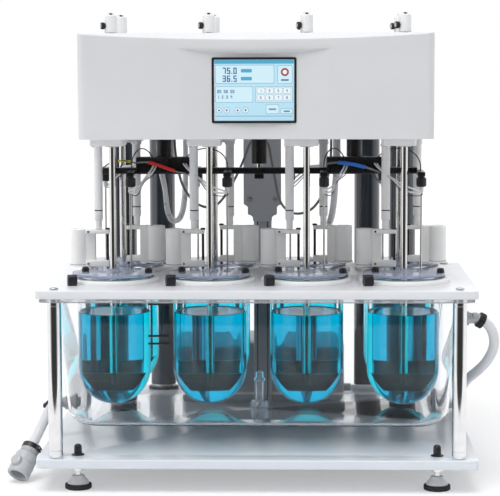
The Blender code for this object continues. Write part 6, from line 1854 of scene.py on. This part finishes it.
@dataclass
class Screen:
    """Touch screen in its thin bezel, with plain generic readings."""

    middle: float = -0.002
    level: float = 0.5632
    width: float = 0.1165
    height: float = 0.0902
    border: float = 0.0032
    front: float = -0.2905
    depth: float = 0.012
    face: float = -0.2893

    def build(self) -> None:
        """Make the bezel and the display."""
        bezel = Piece("screen_bezel_detail")
        outer = rectangle(-self.width / 2, self.width / 2, -self.height / 2, self.height / 2, 0.0024, 4)
        half_w, half_h = self.half
        inner = rectangle(-half_w, half_w, -half_h, half_h, 0.001, 3)
        bezel.add(pierced(outer, [inner], 0.0, self.depth, 0.0007), Rack.black, self._upright(self.front))
        bezel.ride(Body.HEAD, Slot.BLACK, "screen_bezel")
        self._display()

    @property
    def half(self) -> tuple[float, float]:
        """Half the width and half the height of the display inside its bezel."""
        return self.width / 2 - self.border, self.height / 2 - self.border

    def _upright(self, y: float) -> Matrix:
        """Placement of a flat drawing that stands up, its z running back from a depth y."""
        return at(self.middle, y, self.level) @ quarter("X") @ Matrix.Scale(-1, 4, (0, 0, 1))

    def _tile(self, piece: Piece, left: float, top: float, width: float, height: float, finish: Finish,
              lift: float = 0.0002, radius: float = 0.0006) -> None:
        """One flat tile of the display.

        Args:
            piece: the display.
            left: its left edge, from the display's left edge.
            top: its top edge, from the display's top edge.
            width: its width.
            height: its height.
            finish: its colour.
            lift: how far it stands in front of the glass.
            radius: its corner radius.
        """
        x0, y1 = left - self.half[0], self.half[1] - top
        shape = prism(rectangle(x0, x0 + width, y1 - height, y1, radius, 2), -lift, 0.0004)
        piece.add(shape, finish, self._upright(self.face))

    def _number(self, piece: Piece, text: str, left: float, top: float, height: float,
                lift: float = 0.0006) -> None:
        """A plain reading made of seven-stroke figures.

        Args:
            piece: the display.
            text: figures and points.
            left: left edge of the reading.
            top: top edge of it.
            height: height of a figure.
            lift: how far it stands in front of the glass.
        """
        wide, stroke = height * 0.52, height * 0.15
        segments = {"0": "abcdef", "1": "bc", "2": "abged", "3": "abgcd", "4": "fgbc", "5": "afgcd", "6": "afgedc",
                    "7": "abc", "8": "abcdefg", "9": "abcdfg", "-": "g"}
        half = (height - stroke) / 2
        boxes = {"a": (0.0, 0.0, wide, stroke), "g": (0.0, half, wide, stroke),
                 "d": (0.0, height - stroke, wide, stroke), "f": (0.0, 0.0, stroke, half + stroke),
                 "b": (wide - stroke, 0.0, stroke, half + stroke), "e": (0.0, half, stroke, half + stroke),
                 "c": (wide - stroke, half, stroke, half + stroke)}
        for figure in text:
            if figure == ".":
                self._tile(piece, left, top + height - stroke, stroke, stroke, Rack.display_ink, lift, 0.00005)
                left += stroke * 2.2
                continue
            if figure != " ":
                for name in segments[figure]:
                    dx, dy, w, h = boxes[name]
                    self._tile(piece, left + dx, top + dy, w, h, Rack.display_ink, lift, 0.00005)
            left += wide * 1.38

    def _panel(self, piece: Piece, left: float, top: float, right: float, foot: float,
               radius: float = 0.001) -> None:
        """An outlined panel of the display, its edges measured from the display's top left corner."""
        self._tile(piece, left, top, right - left, foot - top, Rack.display_line, 0.00015, radius)
        self._tile(piece, left + 0.0004, top + 0.0004, right - left - 0.0008, foot - top - 0.0008,
                   Rack.display_panel, 0.0003, radius)

    def _display(self) -> None:
        """Glass of the display with its readings, panels, keys and round buttons."""
        piece = Piece("touch_screen_detail")
        w, h = self.width - 2 * self.border, self.height - 2 * self.border
        plate = prism(rectangle(-w / 2 + 0.0002, w / 2 - 0.0002, -h / 2 + 0.0002, h / 2 - 0.0002, 0.0008, 2),
                      0.0, 0.004, 0.0002)
        piece.add(plate, Rack.display, self._upright(self.face))
        self._tile(piece, 0.0006, 0.0006, w - 0.0012, 0.005, Rack.display_bar)
        for box in ((0.0018, 0.0075, 0.0826, 0.0325), (0.0872, 0.0082, 0.1074, 0.033),
                    (0.0018, 0.0368, 0.0535, 0.0585), (0.057, 0.0368, 0.108, 0.0585)):
            self._panel(piece, *box)
        for row, reading in enumerate(("75.0", "36.5")):
            self._number(piece, reading, 0.012, 0.011 + row * 0.0108, 0.0084)
            self._tile(piece, 0.037, 0.0128 + row * 0.0108, 0.015, 0.0048, Rack.display_bar, 0.0005, 0.001)
        for row, reading in enumerate(("00 00 00", "1 2 3 4")):
            self._number(piece, reading, 0.0046, 0.0415 + row * 0.0075, 0.0042)
        self._dot(piece, 0.0973, 0.0172, 0.0056, Rack.display_red)
        self._dot(piece, 0.0973, 0.0172, 0.003, Rack.display_button, 0.0006)
        self._tile(piece, 0.092, 0.0268, 0.0106, 0.0024, Rack.display_line, 0.0005, 0.0004)
        for row in range(2):
            for column in range(4):
                left, top = 0.059 + column * 0.012, 0.0386 + row * 0.0095
                self._tile(piece, left, top, 0.0108, 0.008, Rack.display_line, 0.00045, 0.0012)
                self._tile(piece, left + 0.0003, top + 0.0003, 0.0102, 0.0074, Rack.display_button, 0.0006, 0.001)
                self._number(piece, str(1 + column + 4 * row), left + 0.0042, top + 0.0022, 0.0036, 0.0009)
        for k, x in enumerate((0.0068, 0.0174, 0.0323, 0.0434)):
            self._dot(piece, x, 0.0693, 0.0038, Rack.display_line)
            self._dot(piece, x, 0.0693, 0.0034, Rack.display_button, 0.0006)
            self._arrow(piece, x, 0.0693, 0.002, 1 + 2 * (k % 2))
        for left, top, right in ((0.0712, 0.0615, 0.0893), (0.0915, 0.0672, 0.108)):
            self._panel(piece, left, top, right, 0.0742, 0.0016)
            self._tile(piece, left + 0.004, (top + 0.0742) / 2 - 0.001, right - left - 0.008, 0.002,
                       Rack.display_line, 0.0006, 0.0004)
        self._tile(piece, 0.0018, 0.077, w - 0.0036, 0.0006, Rack.display_line, 0.0003, 0.0001)
        piece.ride(Body.HEAD, Slot.SCREEN, "touch_screen")

    def _dot(self, piece: Piece, x: float, y: float, radius: float, finish: Finish, lift: float = 0.0004) -> None:
        """A round button, its middle measured from the display's top left corner."""
        shape = prism(circle(x - self.half[0], self.half[1] - y, radius, 28), -lift, 0.0004)
        piece.add(shape, finish, self._upright(self.face))

    def _arrow(self, piece: Piece, x: float, y: float, size: float, turn: int) -> None:
        """A plain triangle on a round button, turned by quarters."""
        tip = [(size, 0.0), (-size * 0.6, size * 0.9), (-size * 0.6, -size * 0.9)]
        a = math.pi / 2 * turn
        middle_x, middle_y = x - self.half[0], self.half[1] - y
        corners = [(middle_x + px * math.cos(a) - py * math.sin(a),
                    middle_y + px * math.sin(a) + py * math.cos(a)) for px, py in tip]
        shape = prism(corners, -0.0008, 0.0004)
        piece.add(shape, Rack.display_ink, self._upright(self.face))


# ---------------------------------------------------------------- manifold, stirrers, circulator


@dataclass
class Manifold:
    """Sampling manifold that travels under the head, with its tubes and wires."""

    bar_half: float = 0.232
    bar_y: float = -0.105
    marks_y: float = -0.1265
    rods: tuple[float, ...] = (-0.14, 0.0, 0.14)

    def build(self) -> None:
        """Make the manifold, then the fine lines that hang on it."""
        piece = Piece("sampling_manifold_detail")
        piece.add(block((2 * self.bar_half, 0.016, 0.009), (0.0, self.bar_y, 0.4415), 0.0012), Rack.satin_black)
        for x in (-0.14, 0.14):
            piece.add(block((0.082, 0.023, 0.025), (x, -0.1085, 0.4495), 0.0022), Rack.satin_black)
            piece.row(block((0.0016, 0.0008, 0.02), (0.0, -0.1201, 0.4495), 0.0003), 8, (0.0098, 0.0, 0.0),
                      Rack.satin_black, at(x - 0.0343, 0.0))
        piece.add(block((0.014, 0.014, 0.0074), (0.0, self.bar_y, 0.4333), 0.0012), Rack.satin_black)
        for x in self.rods:
            piece.add(rod(0.005, 0.444, 0.56, 0.0006, 32), Rack.chrome, at(x, self.bar_y))
        for s in STATIONS:
            self._arm(piece, s)
        self._marks(piece)
        self._lines(piece)
        piece.ride(Body.MANIFOLD, Slot.NYLON, "sampling_manifold")

    def _arm(self, piece: Piece, s: Station) -> None:
        """Arm, knob and cannula of one station."""
        tip = s.place @ Vector((0.025, 0.01, 0.0))
        near = self.bar_y
        far = tip.y + (0.007 if tip.y > near else -0.007)
        low, high = sorted((near, far))
        piece.add(block((0.011, high - low, 0.0062), (tip.x, (low + high) / 2, 0.4398), 0.001), Rack.satin_black)
        piece.turn(mm((0, 421.2), (5.2, 421.2), (6.8, 422.2), (7.2, 424), (7.2, 433), (6.2, 434.6), (5, 435.2),
                      (5, 437.6), (0, 437.6)), Rack.black, at(tip.x, tip.y), sides=32)
        piece.ring(self._lobe(), 9, Rack.black, at(tip.x, tip.y))
        piece.add(rod(0.0015, 0.2911, 0.43, 0.0003, 14), Rack.shaft_steel, at(tip.x, tip.y))
        piece.turn(mm((0, 412.5), (2.6, 412.5), (3.4, 414), (3.4, 421.4), (0, 421.4)), Rack.tubing,
                   at(tip.x, tip.y), sides=20)

    @staticmethod
    def _lobe() -> Shape:
        """One lobe of a hand knob."""
        lobe = rod(0.0016, 0.4226, 0.4338, 0.0005, 10)
        bmesh.ops.translate(lobe, vec=(0.0059, 0.0, 0.0), verts=lobe.verts)
        return lobe

    def _marks(self, piece: Piece) -> None:
        """Coloured sleeves on the lines in front of the bar."""
        for finish, radius, route in (
                (Rack.red, 2.6, ((-161.7, 0, 454.8), (-149, -0.8, 451.5), (-136, -0.6, 446.8), (-123.5, 1, 442.5))),
                (Rack.blue, 2.9, ((115.9, 0, 454), (129, -1, 453.2), (142, -0.8, 450.8), (155.8, 0, 447.5))),
                (Rack.cable, 1.6, ((99, 5, 452), (108, 0.8, 453.8), (136, -0.6, 452.2), (162, 0, 445.5),
                                   (176.9, 6, 439.5))),
                (Rack.cable, 1.4, ((-179, 5, 454), (-164, 0, 455), (-142, -0.6, 449.2), (-120, 1, 441),
                                   (-108, 6, 438.5))),
                (Rack.satin_black, 0.9, ((-230, 16.5, 445.5), (-220, 6.5, 453), (-206, 0, 457), (-188, 0, 456),
                                         (-180, 7.5, 453))),
                (Rack.yellow, 1.7, ((-206, 0, 457), (-200, -0.2, 457.2), (-193.5, -0.2, 456.7), (-188, 0, 456)))):
            line = [(x, self.marks_y + y, z) for x, y, z in mm(*route)]
            piece.tube(smooth_route(line, 0.0015), radius / 1000, 12, finish)

    def _lines(self, piece: Piece) -> None:
        """Sample tubes from the trunks to the cannulas, and thin wires along them."""
        for s in STATIONS:
            tip = s.place @ Vector((0.025, 0.01, 0.0))
            trunk = -0.14 if s.x < 0 else 0.14
            start = trunk + (tip.x - trunk) * 0.3
            side = -1.0 if not s.turned else 1.0
            rise = 0.016 if s.turned else 0.0
            for k, (finish, radius, out) in enumerate(((Rack.tubing, 0.0013, 0.0), (Rack.tubing, 0.0013, 0.005),
                                                       (Rack.black, 0.0006, 0.009))):
                route = [(start + 0.004 * k, self.bar_y + side * 0.0135, 0.453),
                         (start + (tip.x - start) * 0.15 + 0.003 * k, self.bar_y + side * 0.026,
                          0.443 + rise * 0.4 - out * 0.5),
                         (start + (tip.x - start) * 0.45, self.bar_y + side * (0.04 + out),
                          0.43 + rise - out * 0.6),
                         (start + (tip.x - start) * 0.78, tip.y + side * (0.012 - out * 0.5),
                          0.42 + rise * 0.7 - out * 1.2),
                         (tip.x + 0.0016 * (k - 1), tip.y + side * (0.006 - 0.001 * k), 0.415 - out * 0.4),
                         (tip.x, tip.y + side * 0.0012, 0.4136)]
                piece.tube(smooth_route(route, 0.003), radius, 8, finish)
            if not s.turned:
                loop = [(start + (tip.x - start) * share, y, z) for share, y, z in (
                    (0.0, self.bar_y - 0.0135, 0.456), (0.2, -0.127, 0.469), (0.55, -0.133, 0.4755),
                    (0.9, -0.137, 0.466), (1.0, -0.1385, 0.452), (1.0, -0.137, 0.4425))]
                piece.tube(smooth_route(loop, 0.003), 0.0008, 8, Rack.satin_black)


@dataclass
class Stirrers:
    """Spindles with their chucks, shafts and paddles."""

    shaft: float = 0.0048
    chuck_low: float = 0.643
    chuck_high: float = 0.6685
    blade_high: float = 0.1525

    def build(self) -> None:
        """Make the spindle and the paddle of every station."""
        for s in STATIONS:
            self._spindle(s)
            self._paddle(s)

    def _spindle(self, s: Station) -> None:
        """Chuck, hub and pulley of one station."""
        low, high = self.chuck_low, self.chuck_high
        piece = Piece(f"spindle_{s.number}_detail")
        inner = self.shaft + 0.0001
        piece.turn([(inner, low), (0.0084, low), (0.009, low + 0.0006), (0.009, high - 0.003),
                    (0.0086, high - 0.001), (0.0076, high), (inner, high)], Rack.nylon, s.upright, closed=True)
        piece.turn([(inner, 0.556), (0.008, 0.556), (0.008, low + 0.0004), (inner, low + 0.0004)], Rack.chrome,
                   s.upright, sides=32, closed=True)
        piece.turn([(inner, 0.54), (0.022, 0.54), (0.022, 0.5414), (0.02, 0.5416), (0.02, 0.5518),
                    (0.0215, 0.552), (0.0215, 0.5534), (inner, 0.5534)], Rack.pulley_grey, s.upright, closed=True)
        knob = lathe(mm((0, 0), (3, 0), (4.4, 1), (4.6, 2), (4.6, 5.8), (4, 6.6), (0, 6.6)), 24)
        turn = math.radians(205.0)
        place = s.upright @ at(0.0, 0.0, 0.653) @ Matrix.Rotation(turn, 4, "Z") \
            @ at(0.0086, 0.0) @ quarter("Y")
        piece.add(knob, Rack.black, place)
        piece.turn(mm((0, 6), (3, 6), (2.9, 7), (0, 7)), Rack.screw_steel, place, sides=20)
        piece.ring(block((0.0007, 0.0008, 0.0036), (0.0046, 0.0, 0.0039), 0.0002), 16, Rack.black, place)
        piece.ride(s.body, Slot.NYLON, f"spindle_{s.number}")

    def _paddle(self, s: Station) -> None:
        """Shaft and blade of one station."""
        piece = Piece(f"paddle_{s.number}_detail")
        piece.add(rod(self.shaft, self.blade_high - 0.008, 0.6715, 0.0005, 32), Rack.shaft_steel, s.upright)
        side = [(0.0375, self.blade_high), (-0.0375, self.blade_high)]
        for k in range(7):
            t = k / 6
            bow = 0.0011 * math.sin(math.pi * t)
            side.append((-(0.0375 + (0.021 - 0.0375) * t) + bow * -0.9, self.blade_high - 0.019 * t))
        for k in range(7):
            t = 1 - k / 6
            bow = 0.0011 * math.sin(math.pi * t)
            side.append(((0.0375 + (0.021 - 0.0375) * t) + bow * 0.9, self.blade_high - 0.019 * t))
        blade = prism(side[:-1], -0.002, 0.002, 0.0006)
        bmesh.ops.transform(blade, matrix=quarter("X"), verts=blade.verts)
        piece.add(blade, Rack.blade_steel, s.upright)
        piece.turn(mm((0, -13), (5, -12.4), (5.2, -11), (5.2, 0.2), (4.9, 1), (0, 1.2), above=self.blade_high),
                   Rack.blade_steel, s.upright, sides=24)
        piece.ride(s.body, Slot.STEEL, f"paddle_{s.number}")


@dataclass
class Circulator:
    """Heater and pump case behind the tank, with its port and mains inlet."""

    half_width: float = 0.13
    front: float = 0.135
    back: float = 0.265
    low: float = 0.0483
    high: float = 0.1503

    def build(self) -> None:
        """Make the case and the mains inlet."""
        piece = Piece("circulator_case_detail")
        middle = (self.front + self.back) / 2
        piece.add(block((2 * self.half_width, self.back - self.front, self.high - self.low),
                        (0.0, middle, (self.low + self.high) / 2), 0.008, 5), Rack.case_grey)
        # Vent slots drawn as black blocks of painted shade on the case back; no openings are cut.
        slot = block((0.0042, 0.0012, 0.04), (0.0, self.back + 0.0001, 0.099), 0.0005)
        piece.row(slot, 5, (0.014, 0.0, 0.0), Rack.satin_black, at(-0.098, 0.0))
        for x in (-0.118, 0.118):
            for y in (self.front + 0.014, self.back - 0.014):
                piece.screw(at(x, y, self.high - 0.0002), 0.0032)
        port = at(self.half_width - 0.0004, 0.185, 0.0623) @ quarter("Y")
        piece.turn(mm((0, 0), (10, 0), (10, 7), (9.2, 7.8), (9.2, 8.6), (9.8, 9.2), (9.8, 11.8), (9, 12.4),
                      (0, 12.4)), Rack.coupling, port)
        piece.ride(Body.STAND, Slot.GREY, "circulator_case")
        self._inlet()

    def _inlet(self) -> None:
        """Mains inlet: a shrouded socket with three blades."""
        low, high = (Vector(corner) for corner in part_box("mains_inlet"))
        middle, size = (low + high) / 2, high - low
        piece = Piece("mains_inlet_detail")
        place = at(middle.x, middle.y + size.y / 2, middle.z) @ quarter("X", -1)
        half_w, half_h = size.x / 2, size.z / 2
        piece.add(pierced(rectangle(-half_w, half_w, -half_h, half_h, 0.0024, 4),
                          [eased(mm((-11, -7), (11, -7), (11, 3.5), (7.5, 7), (-7.5, 7), (-11, 3.5)), 0.0012, 3,
                                 closed=True)], -size.y, 0.0, 0.0006), Rack.black, place)
        piece.add(block((0.023, 0.015, 0.0012), (0.0, 0.0, -size.y + 0.0012), 0.0003), Rack.satin_black, place)
        for x, y in mm((-7, 0.8), (0, -2.6), (7, 0.8)):
            piece.add(block((0.004, 0.0018, min(0.006, size.y - 0.002)),
                            (x, y, -size.y + 0.0012 + min(0.006, size.y - 0.002) / 2), 0.0004),
                      Rack.screw_steel, place)
        piece.ride(Body.STAND, Slot.BLACK, "mains_inlet")


@dataclass
class Carried:
    """CAD nodes whose own shape is right and that only get a finish."""

    finishes: tuple[tuple[str, Finish], ...] = (
        ("power_switch", Rack.black), ("drive_motor", Rack.black), ("drive_belt", Rack.rubber))

    def dress(self) -> None:
        """Give each node its material."""
        for name, finish in self.finishes:
            for slot in bpy.data.objects[name].material_slots:
                slot.material = finish.material()


def main() -> None:
    """Build every group of pieces in order, then finish the frame."""
    logging.basicConfig(level=logging.INFO, format="%(message)s")
    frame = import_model()
    Studio().build()
    coupling, latch = Coupling().build()
    Cords().build(coupling, latch)
    for group in (Base(), VesselPlate(), Bath(), Vessels(), Lids(), Head(), Manifold(), Stirrers(), Circulator()):
        group.build()
        LOG.info("%s done", type(group).__name__)
    Carried().dress()


if __name__ == "__main__":
    main()
